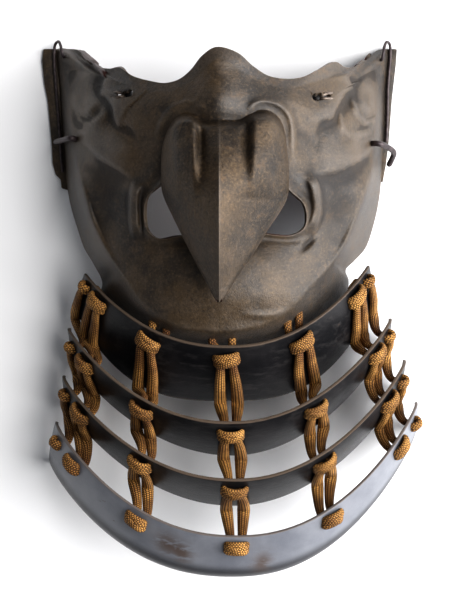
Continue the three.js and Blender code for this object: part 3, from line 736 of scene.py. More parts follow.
# %% Outlines of the mask
SHELL_EDGE = [
    (-4, 117.5), (6, 115), (13, 109.5), (20, 105.5), (27, 104.5), (36, 106), (45, 111), (54, 116.5),
    (60, 115.5), (68, 119), (74, 124.5), (80, 130.5), (84.5, 131, 2), (83.5, 112, 2), (83, 95, 2),
    (82.5, 78, 2), (81.5, 62, 3), (80, 51, 5), (77, 39, 9), (72, 26.5, 16), (66, 20, 21), (61, 15, 27),
    (63, 9.5, 22), (60, -0.5, 27), (51, -9, 36), (41, -16, 41), (30, -21.5, 45.5), (16, -25, 48),
    (-2, -27, 49), (-20, -24.5, 47.5), (-33, -21, 45), (-45, -15, 41), (-55, -7, 36), (-62.5, 2, 30),
    (-62, 9, 28), (-67, 18.5, 22), (-72.5, 27, 15), (-76.5, 37.5, 10), (-80, 48, 6), (-82.5, 60, 3),
    (-83.8, 74, 2), (-85, 92, 2), (-86.5, 111, 2), (-87.5, 131, 2), (-82, 131.2), (-75.5, 128.5),
    (-68, 118.5), (-57, 113.5), (-51, 112.3), (-44, 107.2), (-35, 103.7), (-28, 102.2), (-21.5, 103.5),
    (-16, 107.5), (-10.5, 113.7),
]
CREASE = [
    (-3, 111), (12, 104), (27, 99.5), (44, 105), (58, 110.5), (70, 114.5), (77.5, 119), (77.5, 103),
    (77.3, 90), (76, 76), (73, 62.5), (69.5, 53), (64.5, 39), (58, 26), (51.5, 17), (41, 6), (31, -5),
    (21.5, -11), (11, -14), (-2, -15.3), (-21, -13.5), (-31, -9), (-41, -1), (-51, 13.5), (-57, 22),
    (-62.5, 32), (-66.5, 41), (-69, 50), (-72, 60), (-75.5, 73), (-78, 88), (-79.5, 102), (-80.5, 118),
    (-70, 115), (-56, 108), (-43, 101.8), (-27.5, 97.3), (-15, 102.5),
]
HOLE = [
    (0, 79), (12, 78), (20, 73), (23.5, 66), (25.5, 57), (31, 51), (37, 46), (39, 40), (37.5, 34),
    (31, 30.7), (16, 31.5), (-4, 31.5), (-20, 30.5), (-31, 29), (-37, 33), (-38.7, 41), (-36.5, 49),
    (-29.5, 54.5), (-25, 60), (-23, 68), (-19, 74.5), (-11, 78),
]
STAR_CENTRE = np.array([0.0, 50.0])
EDGE_STEPS = 8  # spokes to each stretch of the edge
OUTLINE_STEPS = 16
LEAST_TURN = 0.002
FACE_ROWS = 80
WALL_ROWS = 14
# The hole has a raised lip with a faint hollow behind it.
LIP_HIGH = 1.1
LIP_WIDE = 1.7
LIP_HOLLOW_DEEP = 0.5
LIP_HOLLOW_AT = 4.5
LIP_HOLLOW_WIDE = 2.2
# The relief fades out this near the crease, but from these heights up the face it runs on over it.
RELIEF_FADE = 3
FADE_ENDS = (62, 76)


# %% The spokes
def radius_at(outline, angles):
    line = smooth_line(outline, OUTLINE_STEPS, closed=True) - STAR_CENTRE
    turns = np.arctan2(line[:, 1], line[:, 0])
    return np.interp(angles, turns, np.hypot(line[:, 0], line[:, 1]), period=2 * math.pi)


def mask_spokes():
    """Points of the skin by row and spoke: over the face from the hole to the crease, then down the wall."""
    corners = []
    for corner in SHELL_EDGE:
        x, y = np.array(corner[:2], float)
        z = corner[2] if len(corner) == 3 else face_height(x, y) + relief(x, y)
        corners.append((x, y, z))
    edge = smooth_line(corners, EDGE_STEPS, closed=True)
    own = np.arctan2(edge[:, 1] - STAR_CENTRE[1], edge[:, 0] - STAR_CENTRE[0])
    angles = [own[0]]
    for angle in own[1:]:
        turn = (angles[-1] - angle + 3 * math.pi) % (2 * math.pi) - math.pi
        angles.append(angles[-1] - max(turn, LEAST_TURN))
    angles = np.array(angles)
    ways = np.stack([np.cos(angles), np.sin(angles)], axis=1)
    rim = STAR_CENTRE + ways * radius_at(HOLE, angles)[:, None]
    crease = STAR_CENTRE + ways * radius_at(CREASE, angles)[:, None]
    t = np.linspace(0, 1, FACE_ROWS + 1)[:, None, None]
    plan = rim[None] * (1 - t) + crease[None] * t
    x, y = plan[..., 0], plan[..., 1]
    from_rim = np.linalg.norm(plan - rim[None], axis=2)
    behind_lip = bell(from_rim - LIP_HOLLOW_AT, LIP_HOLLOW_WIDE)
    lip = LIP_HIGH * bell(from_rim, LIP_WIDE) - LIP_HOLLOW_DEEP * behind_lip
    to_crease = np.linalg.norm(plan - crease[None], axis=2)
    fade = np.maximum(smoothstep(0, RELIEF_FADE, to_crease), smoothstep(*FADE_ENDS, y))
    z = face_height(x, y) + (relief(x, y) + lip) * fade
    face = np.stack([x, y, z], axis=2)
    w = np.linspace(0, 1, WALL_ROWS + 1)[1:, None, None]
    wall = face[-1][None] * (1 - w) + edge[None] * w
    return np.concatenate([face, wall])


def softened(grid, middle_row, times, spread):
    """The grid, smoothed along its spokes near one row."""
    rows = np.arange(grid.shape[0])
    weight = bell(rows - middle_row, spread)[1:-1, None, None]
    for _ in range(times):
        between = (grid[:-2] + grid[2:]) / 2
        grid[1:-1] += 0.5 * weight * (between - grid[1:-1])
    return grid


def standing_out(heights, times):
    """How far each point of a grid stands above the ground round it, which is the grid blurred."""
    ground = heights.copy()
    for _ in range(times):
        around = np.roll(ground, 1, axis=1) + np.roll(ground, -1, axis=1)
        ground[1:-1] = (ground[2:] + ground[:-2] + around[1:-1]) / 4
    return heights - ground


# %% The skin as a mesh
# The "relief_light_and_shade" attribute takes these shares of how far a point stands out from grounds
# blurred so many times. The finest share paints thin highlights along the edges of the steps.
WORKED_SCALES = [(0.9, 10), (0.3, 40), (0.12, 500)]
# How many rows the wear of the hole's rim and of the outer edge reaches over.
HOLE_WEAR = 2.2
EDGE_WEAR = 1.6
skin = softened(mask_spokes(), FACE_ROWS, times=6, spread=3)
skin[..., 2] = np.maximum(skin[..., 2] + hammered(skin[..., 0], skin[..., 1], skin[..., 2]), LOWEST)
spoke_count = skin.shape[1]
row_count = skin.shape[0] - 1
face = skin[: FACE_ROWS + 1]
worked = face[..., 2] - face_height(face[..., 0], face[..., 1])
# How far each point stands out, kept for painted highlight on crests and painted shade in hollows.
relief_light_and_shade = np.zeros(skin.shape[:2])
relief_light_and_shade[: FACE_ROWS + 1] = sum(share * standing_out(worked, times) for share, times in WORKED_SCALES)


def of_point(u, v):
    """The row and the column of the skin that a point of the grid stands for."""
    return whole(v, row_count), whole(u, spoke_count) % spoke_count


mask, mask_u, mask_v = bent_grid("mask_of_iron", spoke_count, row_count, lambda u, v: skin[of_point(u, v)])
mask_row = mask_v * row_count
write_attribute(mask, "relief_light_and_shade", np.clip(relief_light_and_shade[of_point(mask_u, mask_v)], -1, 1))
write_attribute(mask, "flange", smoothstep(FACE_ROWS - 2, FACE_ROWS + 3, mask_row))
write_attribute(mask, "rim", np.exp(-mask_row / HOLE_WEAR) + np.exp(-(row_count - mask_row) / EDGE_WEAR))
close_up(mask)
print("mask skin:", len(mask.data.polygons), "faces")

# %% [markdown]
# ## Slots, thickness and side strips
#
# The two slots in the upper cheeks are opened in the skin before it has a thickness. The faces inside a
# slot's outline are deleted, and the points round the gap slide onto the outline, so that the edge is clean.
# Solidify then gives the skin the plate's thickness, with the red lacquer on its inner side. At each side
# the plate turns out into a flat strip, on which the guard lies. A strip is an outline given thickness and
# a small bevel, then joined to the mask, because on the real mask it is the same sheet of iron.

# %% Slots opened in the skin
SLOTS = {"left": (-48.7, 98.7, 0.05), "right": (46.2, 97.6, 0.22)}  # centre and tilt
SLOT_LONG = 9.6
SLOT_WIDE = 3.9
PLATE_WALL = 1.9


def open_slot(piece, x, y, tilt):
    """Deletes the faces inside a slot with round ends, and slides the points round it onto its outline."""
    way = np.array([math.cos(tilt), math.sin(tilt)])
    half = (SLOT_LONG - SLOT_WIDE) / 2

    def from_middle(points):
        flat = points[:, :2] / MM - DRAWING_SHIFT[:2] - [x, y]
        middle = np.clip(flat @ way, -half, half)[:, None] * way
        return middle, flat - middle

    centres = np.empty(len(piece.data.polygons) * 3)
    piece.data.polygons.foreach_get("center", centres)
    _, away = from_middle(centres.reshape(-1, 3))
    inside = np.linalg.norm(away, axis=1) < SLOT_WIDE / 2
    make_active(piece)
    bpy.ops.object.mode_set(mode="EDIT")
    bpy.ops.mesh.select_mode(type="FACE")
    bpy.ops.mesh.select_all(action="DESELECT")
    bpy.ops.object.mode_set(mode="OBJECT")
    piece.data.polygons.foreach_set("select", inside)
    bpy.ops.object.mode_set(mode="EDIT")
    bpy.ops.mesh.delete(type="FACE")
    bpy.ops.object.mode_set(mode="OBJECT")
    points = read_points(piece)
    middle, away = from_middle(points)
    uses = {}
    for polygon in piece.data.polygons:
        for edge in polygon.edge_keys:
            uses[edge] = uses.get(edge, 0) + 1
    around = np.unique([edge for edge, count in uses.items() if count == 1])
    around = around[np.linalg.norm(away[around], axis=1) < SLOT_WIDE]
    onto = middle[around] + unit(away[around]) * SLOT_WIDE / 2
    points[around, :2] = (onto + [x, y] + DRAWING_SHIFT[:2]) * MM
    write_points(piece, points)
    print("slot opened:", int(inside.sum()), "faces gone,", len(around), "points round it")


for x, y, tilt in SLOTS.values():
    open_slot(mask, x, y, tilt)
plate(mask, PLATE_WALL, mask_iron, inner_lacquer)
keep_above_table(mask)
print("mask plate:", len(mask.data.polygons), "faces")

# %% Side strips
STRIP_OUTLINES = {
    "left": [
        (-95, 131.3), (-95.7, 125), (-94.5, 113), (-92.8, 104.5), (-90.7, 82), (-90.2, 71.5), (-88.6, 65.5),
        (-86, 63), (-85.5, 58.5), (-81.5, 57.3), (-80.5, 62), (-82, 80), (-84, 110), (-84.5, 131.3),
    ],
    "right": [
        (90, 131.3), (81.5, 131.3), (80.5, 110), (80, 80), (79.5, 63), (82.5, 61.5), (84.2, 70.5),
        (85.5, 80.5), (87.3, 104.5), (89.4, 122.8),
    ],
}
STRIP_THICKNESS = 2.0
STRIP_BEVEL = 0.5


def side_strip(outline):
    bpy.ops.object.select_all(action="DESELECT")
    bpy.ops.mesh.primitive_circle_add(vertices=len(outline), radius=0.01, fill_type="NGON")
    strip = bpy.context.active_object
    write_points(strip, in_frame([(x, y, 0) for x, y in outline]))
    close_up(strip)
    with_modifier(strip, "SOLIDIFY", thickness=STRIP_THICKNESS * MM, offset=0.0)
    points = read_points(strip)
    points[:, 2] -= points[:, 2].min()
    write_points(strip, points)
    close_up(strip)
    with_modifier(strip, "BEVEL", width=STRIP_BEVEL * MM, segments=2, limit_method="ANGLE")
    dress(strip, mask_iron)
    return strip


joined([mask] + [side_strip(outline) for outline in STRIP_OUTLINES.values()])
claim(mask, "mask_shell", sharp_angle=50)
print("mask with strips, mm:", [round(1000 * side, 1) for side in mask.dimensions])

# %% [markdown]
# ## The beak
#
# The beak is one sheet too. Its rows run from the double arch of its root down to the tip, and its columns
# across from edge to edge. Each side is a straight-sided bill under a sharp ridge, whose height is one
# smooth line from tip to bridge. Two rounded lobes stand for a crow's nostrils on its root, with a groove
# between each lobe and the ridge. The points are crowded towards the ridge, so that it stays crisp.

# %% The beak's formula
BEAK_RIGHT = [
    (-2.7, 83.8), (6.5, 84), (11.5, 87), (19, 88.5), (25, 85.5), (28, 79), (29.2, 70), (30, 59),
    (29.3, 48), (20, 32.5), (12.6, 20.5), (5, 9.5), (0, 1.5), (-2.7, -1.5),
]
BEAK_LEFT = [
    (-2.7, 83.8), (-10, 84), (-15.5, 87), (-21, 86.5), (-25.5, 82), (-28.5, 75), (-29.8, 68), (-30, 59),
    (-29.3, 50), (-24, 38), (-16.3, 22.5), (-9.5, 9.5), (-5, 1), (-2.7, -1.5),
]
BEAK_RIDGE = [
    (-6, 92), (-2, 94.5), (8, 101), (20, 109.5), (35, 115.5), (50, 116.5), (64, 111.5), (76, 103),
    (84, 96.5), (92, 91),
]
RIDGE_X = -2.7
RIDGE_CROWDING = 1.25
SEAT_GAP = 0.5
TIP_EDGE_Z = 92.5
FREE_FROM_Y = 46.0
ROOT_SHARE = 5 / 13  # the root takes the first five of an outline's thirteen stretches
TIP_BLUNTNESS = 0.985
BILL_FALL = 0.85
ROOT_RISE = 0.07
ROOT_TUCK = 1.5
BEAK_PLATE = 1.5
EDGE_THINNED_TO = 0.2
BEAK_HAMMERED = 0.6
# Painted highlight: how much lighter the iron is painted along the ridge and down the bill.
RIM_CLOSENESS = 22
RIDGE_HIGHLIGHT = 0.9
BILL_HIGHLIGHT = 0.8
BEAK_STEPS = 24
BEAK_COLUMNS = 120
BEAK_ROWS = 150
# A lobe swells from its inner side to its crest, and sinks from its outer side to the beak's edge.
LOBE_HIGH = 5.2
LOBE_RIGHT = (8.6, 13.8, 20, 30)
LOBE_LEFT = (10.2, 14.6, 21, 30)
LOBE_REACH_Y = (38, 70)
LOBE_SINKS = 0.8
LOBE_GROOVES = [
    dict(wide=2.4, high=-1.4, start=0.1, finish=0.6, line=[
        (12.6, 87), (10.6, 80), (9.6, 72), (9.2, 64), (9.6, 57),
    ]),
    dict(wide=2.4, high=-2.0, start=0.1, finish=0.6, line=[
        (-14, 87), (-12.2, 80), (-11.4, 72), (-11.2, 64), (-12, 57),
    ]),
]


def beak_edge_height(x, y):
    seat_y = np.maximum(y, FREE_FROM_Y)
    seat = face_height(x, seat_y) + dome(x, seat_y, *BRIDGE_SWELLING) + SEAT_GAP
    free = (FREE_FROM_Y - y) / (FREE_FROM_Y + 2)
    return np.where(y >= FREE_FROM_Y, seat, seat + (TIP_EDGE_Z - seat) * free)


def along_outline(line, share):
    """Points of an outline at shares of its corner count, as the corners were drawn."""
    fine = smooth_line(line, BEAK_STEPS)
    at = np.clip(share, 0, 1) * (len(line) - 1) * BEAK_STEPS
    k = np.minimum(at.astype(int), len(fine) - 2)
    return fine[k] + (fine[k + 1] - fine[k]) * (at - k)[..., None]


def lobe(x, y, inner, crest, outer, edge):
    """A nostril's swelling: a steep slope on its inner side, and a long soft one on its outer side."""
    across = smoothstep(inner, crest, x) * (1 - LOBE_SINKS * smoothstep(outer, edge, x))
    return across * smoothstep(*LOBE_REACH_Y, y)


def beak_shape(u, v):
    s = 1 - 2 * u
    s = np.sign(s) * np.abs(s) ** RIDGE_CROWDING
    inwards = 1 - np.abs(s)

    def straight_row(share):
        """Points on straight rows through the ridge, and the outline's points at their ends."""
        left = along_outline(BEAK_LEFT, share)
        right = along_outline(BEAK_RIGHT, share)
        middle = np.stack([np.full(s.shape, RIDGE_X), (left[..., 1] + right[..., 1]) / 2], axis=-1)
        side = np.where((s < 0)[..., None], left, right)
        return middle + (side - middle) * np.abs(s)[..., None], side

    plan, _ = straight_row(ROOT_SHARE + (1 - ROOT_SHARE) * v * TIP_BLUNTNESS)
    _, root = straight_row(ROOT_SHARE * np.abs(s))
    straight, _ = straight_row(np.full(s.shape, ROOT_SHARE))
    plan = plan + (root - straight) * ((1 - v) ** 3)[..., None]
    x, y = plan[..., 0], plan[..., 1]
    from_edge = smoothstep(0, 0.1, inwards)
    thinned = EDGE_THINNED_TO + (1 - EDGE_THINNED_TO) * smoothstep(0, 0.08, np.minimum(inwards, v))
    base = beak_edge_height(x, y) + BEAK_PLATE * thinned
    crest = np.interp(y, *smooth_line(BEAK_RIDGE, 12).T)
    rise = smoothstep(0, ROOT_RISE, v)
    bill = np.maximum(crest - base, 0) * inwards**BILL_FALL
    lobes = LOBE_HIGH * (lobe(x, y, *LOBE_RIGHT) + lobe(-x, y, *LOBE_LEFT))
    lobes = lobes * smoothstep(0, 0.3, inwards) * rise
    grooves = sum(ridge(x, y, **drawn) for drawn in LOBE_GROOVES)
    z = base + rise * bill + lobes + grooves * smoothstep(0, 0.12, v) * from_edge
    tucked = bell(v, 0.03) * (1 - smoothstep(0.35, 0.75, np.abs(s)))
    z = z + BEAK_HAMMERED * hammered(x, y, z) * from_edge - ROOT_TUCK * tucked
    return np.stack([x, y, z], axis=-1)


# %% The beak's plate
beak, beak_u, beak_v = bent_grid("crow_beak", BEAK_COLUMNS, BEAK_ROWS, beak_shape)
across = np.abs(2 * beak_u - 1)
write_attribute(beak, "rim", np.exp(-(1 - across) * RIM_CLOSENESS))
# Painted highlight: the iron is lightened along the ridge, and down the bill towards the tip.
bill_highlight = smoothstep(0.2, 0.9, beak_v) * smoothstep(1, 0.8, across)
write_attribute(beak, "relief_light_and_shade", RIDGE_HIGHLIGHT * bell(across, 0.05) + BILL_HIGHLIGHT * bill_highlight)
plate(beak, BEAK_PLATE, beak_iron, inner_lacquer)
claim(beak, "beak", sharp_angle=40)
print("beak, mm:", [round(1000 * side, 1) for side in beak.dimensions])

# %% [markdown]
# ## The lames of the throat guard
#
# A lame is a narrow iron strip bent into an arch that follows the throat, then lacquered black. Its two
# long edges are arches of their own, so the formula joins a point of the top arch to the same point of the
# lower one, with a slight swelling between them. The lowest lame ends in a rolled edge that turns in
# towards the throat. The bare edges of the plates show where the lacquer has worn, so each point also notes
# how near it is to an edge.

# %% Arches of the four lames
# Each lame: how far its low edge is rolled in, and the arches of its top and its low edge. An arch: its
# middle's x, its half width, its crown's y, how far its left and right ends sweep up, how suddenly, and the
# heights of its crown and its ends.
LAMES = [
    dict(roll=0.0, top=(1, 72, -22.4, 36, 40, 2.2, 71, 26), low=(-0.4, 77, -50, 45.5, 48.5, 3, 44, 8)),
    dict(roll=0.0, top=(2.4, 83, -58.4, 44, 49, 2.1, 75, 16), low=(3.4, 80.6, -76.2, 41.8, 52.8, 2, 51, 1)),
    dict(roll=0.0, top=(4.7, 88, -85.7, 47, 55, 2.1, 74, 16), low=(4, 86, -100.9, 45.4, 52.9, 2, 50, 1)),
    dict(
        roll=1.4, top=(5.9, 92.6, -112.6, 50.5, 60.5, 2.2, 71, 17),
        low=(3.8, 96, -135.5, 50.5, 67, 2.3, 56, 0),
    ),
]
LAME_BULGE = 0.8
LAME_PLATE = 1.6
LAME_BEVEL = 0.35
LAME_COLUMNS = 180
LAME_ROWS = 24
LONG_EDGE_WEAR = 0.02
END_WEAR = 0.004
ROLL_FROM = 0.84
ROLL_SHADE = (0.62, 0.84)
# Patches as domes over turn and share: centre, reach across and down, strength.
WORN_PATCHES = [((-0.36, 0.4), 0.06, 0.22, 1), ((-0.27, 0.5), 0.05, 0.22, 1), ((0.14, 0.62), 0.045, 0.22, 1)]


def arch_point(arch, turn):
    shift, half, crown_y, left, right, power, crown_z, end_z = arch
    s = np.sin(turn)
    sweep = np.where(s < 0, left, right)
    y = crown_y + sweep * np.abs(s) ** power
    z = end_z + (crown_z - end_z) * np.cos(turn)
    return np.stack([shift + half * s, y, z], axis=-1)


def lame_frame(lame, turn):
    top = arch_point(lame["top"], turn)
    low = arch_point(lame["low"], turn)
    along = unit(arch_point(lame["top"], turn + 0.01) - arch_point(lame["top"], turn - 0.01))
    down = unit(low - top)
    return top, low, along, down, np.cross(down, along)


def lame_point(lame, turn, share, lift=0.0):
    """A point of a lame: turn round the arch, share down from its top edge, lift off its face."""
    turn, share, lift = np.broadcast_arrays(np.asarray(turn, float), share, lift)
    top, low, _, _, out = lame_frame(lame, turn)
    rise = lift + LAME_BULGE * 4 * share * (1 - share)
    rolled = lame["roll"] * (np.maximum(share - ROLL_FROM, 0) / (1 - ROLL_FROM)) ** 2
    return top + (low - top) * share[..., None] + out * (rise - rolled)[..., None]


def make_lame(number, lame):
    def shape(u, v):
        return lame_point(lame, (0.5 - u) * math.pi, v)

    piece, u, v = bent_grid(f"lame_{number}_lacquered", LAME_COLUMNS, LAME_ROWS, shape)
    keep_above_table(piece)
    long_edges = np.exp(-v / LONG_EDGE_WEAR) + np.exp(-(1 - v) / LONG_EDGE_WEAR)
    worn = long_edges + np.exp(-np.minimum(u, 1 - u) / END_WEAR)
    write_attribute(piece, "rim", np.minimum(worn, 1))
    if lame["roll"]:
        patches = sum(dome((0.5 - u) * math.pi, v, *patch) for patch in WORN_PATCHES)
        # Painted shade for the rolled low edge.
        write_attribute(piece, "painted_roll_shade", smoothstep(*ROLL_SHADE, v))
        write_attribute(piece, "patch", patches)
    plate(piece, LAME_PLATE, painted_sheen_lame if lame["roll"] else dark_lame, dark_lame)
    keep_above_table(piece)
    bevel = dict(width=LAME_BEVEL * MM, segments=2, limit_method="ANGLE", angle_limit=math.radians(50))
    with_modifier(piece, "BEVEL", **bevel)
    claim(piece, f"lame_{number}", sharp_angle=40)
    return piece


lame_pieces = [make_lame(number, lame) for number, lame in enumerate(LAMES, start=1)]
print("lames, mm:", [round(1000 * piece.dimensions.x) for piece in lame_pieces])

# %% [markdown]
# ## Braided lacing
#
# The lames hang on flat silk braid. Each cord is one run: it starts behind the jaw flange or the first
# lame, comes out through a lame's hole, passes down over the face and the lower edge, goes up behind the
# next lame and out through its hole, to the last knot. Its skin is a grid rolled into a flattened tube
# along that route, thin in the holes and full over each lower edge. Its ribs are real relief, and each point
# keeps its place across and along the cord, for the colour and the fine bumps of the strands. A knot is five
# short lengths of the same cord, laid over each other, and an end column's outer knot is three.

# %% Where the cords go
# Each column: where its knots lie across the lames, as sines of the turn, and its starts at the jaw flange.
COLUMNS = {
    "a": dict(knots=[-0.862, -0.955], flange=[]),
    "b": dict(knots=[-0.515], flange=[-39, -31.5]),
    "c": dict(knots=[0], flange=[-6.5, 3.5]),
    "d": dict(knots=[0.49], flange=[34.5, 41]),
    "e": dict(knots=[0.865, 0.952], flange=[]),
}
KNOT_SHARE = [0.2, 0.28, 0.3, 0.23]
HOLE_PITCH = 5.4
INNER_REACH = 3.4
CORD_LIFT = 2.1
JAW_TOP_Y = 20
FLANGE_SHARE = 0.34
FLANGE_WALL = 2.0
BEHIND_FLANGE = 1.5
BEFORE_FLANGE = 1.9
OVER_FACE = [(0.6, 0.8), (1.0, 1.0)]  # the share of the way down the lame, and of the bow
OUT_OF_HOLE = 0.6
THIN = 0.74
NEARLY_EVEN = 1.02
FULL = 1.2
# How far the cords bow out to the side: the two of a pair, and the three of each end column.
PAIR_BOW = 1.5
END_BOWS = {"a": (-2.0, 0.8, -2.4), "e": (-1.0, 1.2, 2.7)}


def lace_holes(lame, share, column):
    holes = []
    for k, sine in enumerate(column["knots"]):
        turn = math.asin(sine)
        _, _, along, _, out = lame_frame(lame, turn)
        for offset in ([-HOLE_PITCH / 2, HOLE_PITCH / 2] if k == 0 else [0.0]):
            face = lame_point(lame, turn, share) + along * offset
            holes.append(dict(turn=turn, offset=offset, along=along, out=out, face=face))
    return holes


def flange_start(x):
    """Where a cord leaves the jaw flange: behind it, and in front of it."""
    below = [corner for corner in SHELL_EDGE if corner[1] < JAW_TOP_Y and len(corner) == 3]
    edge = smooth_line(below, OUTLINE_STEPS)
    low = edge[np.argmin(np.abs(edge[:, 0] - x))]
    angle = np.arctan2(low[1] - STAR_CENTRE[1], low[0] - STAR_CENTRE[0])
    crease_plan = STAR_CENTRE + np.array([math.cos(angle), math.sin(angle)]) * radius_at(CREASE, angle)
    crease = np.append(crease_plan, face_height(crease_plan[0], crease_plan[1]))
    point = crease + (low - crease) * FLANGE_SHARE
    outward = unit(np.cross(low - crease, [1.0, 0, 0]))
    outward = outward if outward[1] < 0 else -outward
    return [point - outward * (FLANGE_WALL + BEHIND_FLANGE), point + outward * BEFORE_FLANGE]


def cord_fullness(begins, length):
    """How full a cord is at each corner of its route: thin in its holes, and full over each lower edge."""
    over_lame = (THIN, THIN, NEARLY_EVEN, FULL)
    return [THIN if k < begins else over_lame[(k - begins) % 4] for k in range(length)]


def cord_route(column, holes, k, start):
    route = list(start)
    alongs = [holes[0][k]["along"]] * len(route)
    for number, lame in enumerate(LAMES):
        hole = holes[number][k]
        inside = hole["face"] - hole["out"] * (LAME_PLATE + INNER_REACH)
        route += [inside, hole["face"] + hole["out"] * CORD_LIFT * OUT_OF_HOLE]
        if number < len(LAMES) - 1:
            following = holes[number + 1][k]["face"]
            for share, bowed in OVER_FACE:
                over = lame_point(lame, hole["turn"], share, CORD_LIFT) + hole["along"] * hole["offset"]
                if column in END_BOWS:
                    drift = END_BOWS[column][k] * bowed
                else:
                    done = (hole["face"][1] - over[1]) / (hole["face"][1] - following[1])
                    straight = hole["face"][0] + done * (following[0] - hole["face"][0])
                    drift = straight + (-PAIR_BOW, PAIR_BOW)[k] * bowed - over[0]
                route.append(over + hole["along"] * drift)
        alongs += [hole["along"]] * (len(route) - len(alongs))
    return np.array(route), np.array(alongs), cord_fullness(len(start), len(route))


# %% A tube along a line, and a braided one along a route
CORD_WIDE = 2.45
CORD_DEEP = 1.75
CORD_SIDES = 36
CORD_PITCH = 0.6
CORD_STEPS = 14
SQUARENESS = 0.85
STRAND_RELIEF = 0.2
# Knots are painted as lit braid.
KNOT_LIT = 0.7


def tube(name, sides, line, ring):
    """A closed skin round a line: ring(row, turn) says how far each of its points is off the line."""
    rows = len(line) - 1

    def shape(u, v):
        row = whole(v, rows)
        return line[row] + ring(row, 2 * math.pi * u)

    piece, u, v = bent_grid(name, sides, rows, shape)
    return piece, 2 * math.pi * u, whole(v, rows)


def rolled_skin(name, route, alongs, wide, deep, fullness=None):
    """A flattened tube along the route. Its broad faces look across the route and the alongs."""
    smooth = smooth_line(route, CORD_STEPS)
    line, walked = evenly(smooth, CORD_PITCH)
    corners = walked_along(smooth)[::CORD_STEPS]
    side = np.stack([np.interp(walked, corners, alongs[:, k]) for k in range(3)], axis=1)
    tangent = unit(np.gradient(line, axis=0))
    side = unit(side - tangent * (side * tangent).sum(axis=1, keepdims=True))
    front = np.cross(side, tangent)
    # How lit the braid is painted: lighter where the cord is full, darker where it thins into a hole's
    # shade.
    if fullness is None:
        full = np.ones(len(line))
        clean_and_lit = KNOT_LIT * full
    else:
        full = np.interp(walked, corners, fullness)
        clean_and_lit = np.clip((full - THIN) / (FULL - THIN), 0, 1)
    swell = round_ends(walked, deep) * full

    def ring(row, turn):
        q = np.cos(turn)
        broad = np.sin(turn)
        ribs = STRAND_RELIEF * np.abs(np.cos(RIBS * np.arccos(q)))
        across = (wide + ribs) * np.sign(q) * np.abs(q) ** SQUARENESS
        up = (deep + ribs) * np.sign(broad) * np.abs(broad) ** SQUARENESS
        return (side[row] * across[:, None] + front[row] * up[:, None]) * swell[row, None]

    piece, turn, row = tube(name, CORD_SIDES, line, ring)
    write_attribute(piece, "across", np.cos(turn))
    write_attribute(piece, "walked", walked[row])
    write_attribute(piece, "clean_and_lit", clean_and_lit[row])
    close_up(piece)
    return piece


# %% Knots
KNOT = dict(across=6.2, down=3.4, high=3.2)
LAST_KNOT = dict(across=5.6, down=2.9, high=2.7)
END_KNOT = dict(across=3.3, down=3.0, high=2.5)
# Each length of cord in a knot: where it starts and ends down the knot, and how high it rides.
KNOT_TURNS = [
    (0.72, 0.62, 0.0), (-0.7, -0.66, 0.1), (-0.75, 0.7, 0.75), (0.7, -0.6, 1.15), (0.05, 0.0, 0.35),
]
END_KNOT_TURNS = [(0.45, 0.35, 0.0), (-0.4, 0.35, 0.6), (0.35, -0.45, 1.0)]
KNOT_ANGLES = np.linspace(-1.75, 1.75, 9)
KNOT_TILT = 0.22
KNOT_SPAN = 0.86
KNOT_FANNED = 0.55  # how much of its own place each length keeps at the knot's ends
KNOT_RAISED = 1.4
KNOT_SUNK = 0.2
KNOT_CORD = (1.95, 1.3)
JOIN_CORD = (1.9, 1.5)
JOIN_REACH = 2.8


def knot_lengths(name, lame, turn, share, size, turns, tilt, mirrored):
    """The short lengths of cord of one knot, over a lame's face."""
    _, _, along, down, out = lame_frame(lame, turn)
    centre = lame_point(lame, turn, share)
    cos, sin = math.cos(tilt), math.sin(tilt)
    along, down = along * cos + down * sin, down * cos - along * sin
    rounding = np.cos(KNOT_ANGLES)
    reach = size["across"] * np.sin(KNOT_ANGLES) * KNOT_SPAN
    pieces = []
    for number, (begin, finish, ride) in enumerate(turns):
        begin, finish = (finish, begin) if mirrored else (begin, finish)
        drift = size["down"] * (begin + (finish - begin) * (np.sin(KNOT_ANGLES) + 1) / 2)
        drift = drift * (KNOT_FANNED + (1 - KNOT_FANNED) * rounding) - KNOT_RAISED * rounding
        high = (size["high"] + ride) * rounding - KNOT_SUNK
        route = centre + along * reach[:, None] + down * drift[:, None] + out * high[:, None]
        alongs = np.tile(down, (len(route), 1))
        pieces.append(rolled_skin(f"{name}_{number}", route, alongs, *KNOT_CORD))
    return pieces


def make_lacing(letter, random):
    column = COLUMNS[letter]
    holes = [lace_holes(lame, share, column) for lame, share in zip(LAMES, KNOT_SHARE)]
    starts = [flange_start(x) for x in column["flange"]] or [[]] * 3
    parts = []
    for k in range(len(holes[0])):
        route, alongs, fullness = cord_route(letter, holes, k, starts[k])
        parts.append(rolled_skin(f"cord_{letter}_{k}", route, alongs, CORD_WIDE, CORD_DEEP, fullness))
    for number, lame in enumerate(LAMES):
        for k, sine in enumerate(column["knots"]):
            main_knot = LAST_KNOT if lame["roll"] else KNOT
            size, turns = (main_knot, KNOT_TURNS) if k == 0 else (END_KNOT, END_KNOT_TURNS)
            tilt = random.uniform(-KNOT_TILT, KNOT_TILT)
            mirrored = random.random() < 0.5
            name = f"knot_{letter}_{number}_{k}"
            place = (lame, math.asin(sine), KNOT_SHARE[number])
            parts += knot_lengths(name, *place, size, turns, tilt, mirrored)
    if letter in END_BOWS:
        # A hidden length behind the first lame joins the end column's cords.
        near = holes[0][0 if letter == "a" else 1]
        behind = [hole["face"] - hole["out"] * (LAME_PLATE + JOIN_REACH) for hole in (near, holes[0][2])]
        route = np.linspace(*behind, 4)
        parts.append(rolled_skin(f"join_{letter}", route, np.tile(near["out"], (4, 1)), *JOIN_CORD))
    lacing = joined(parts)
    lacing.name = f"lacing_{letter}_braid"
    lacing.data.name = lacing.name
    dress(lacing, braid)
    claim(lacing, f"lacing_{letter}", sharp_angle=60)
    return lacing


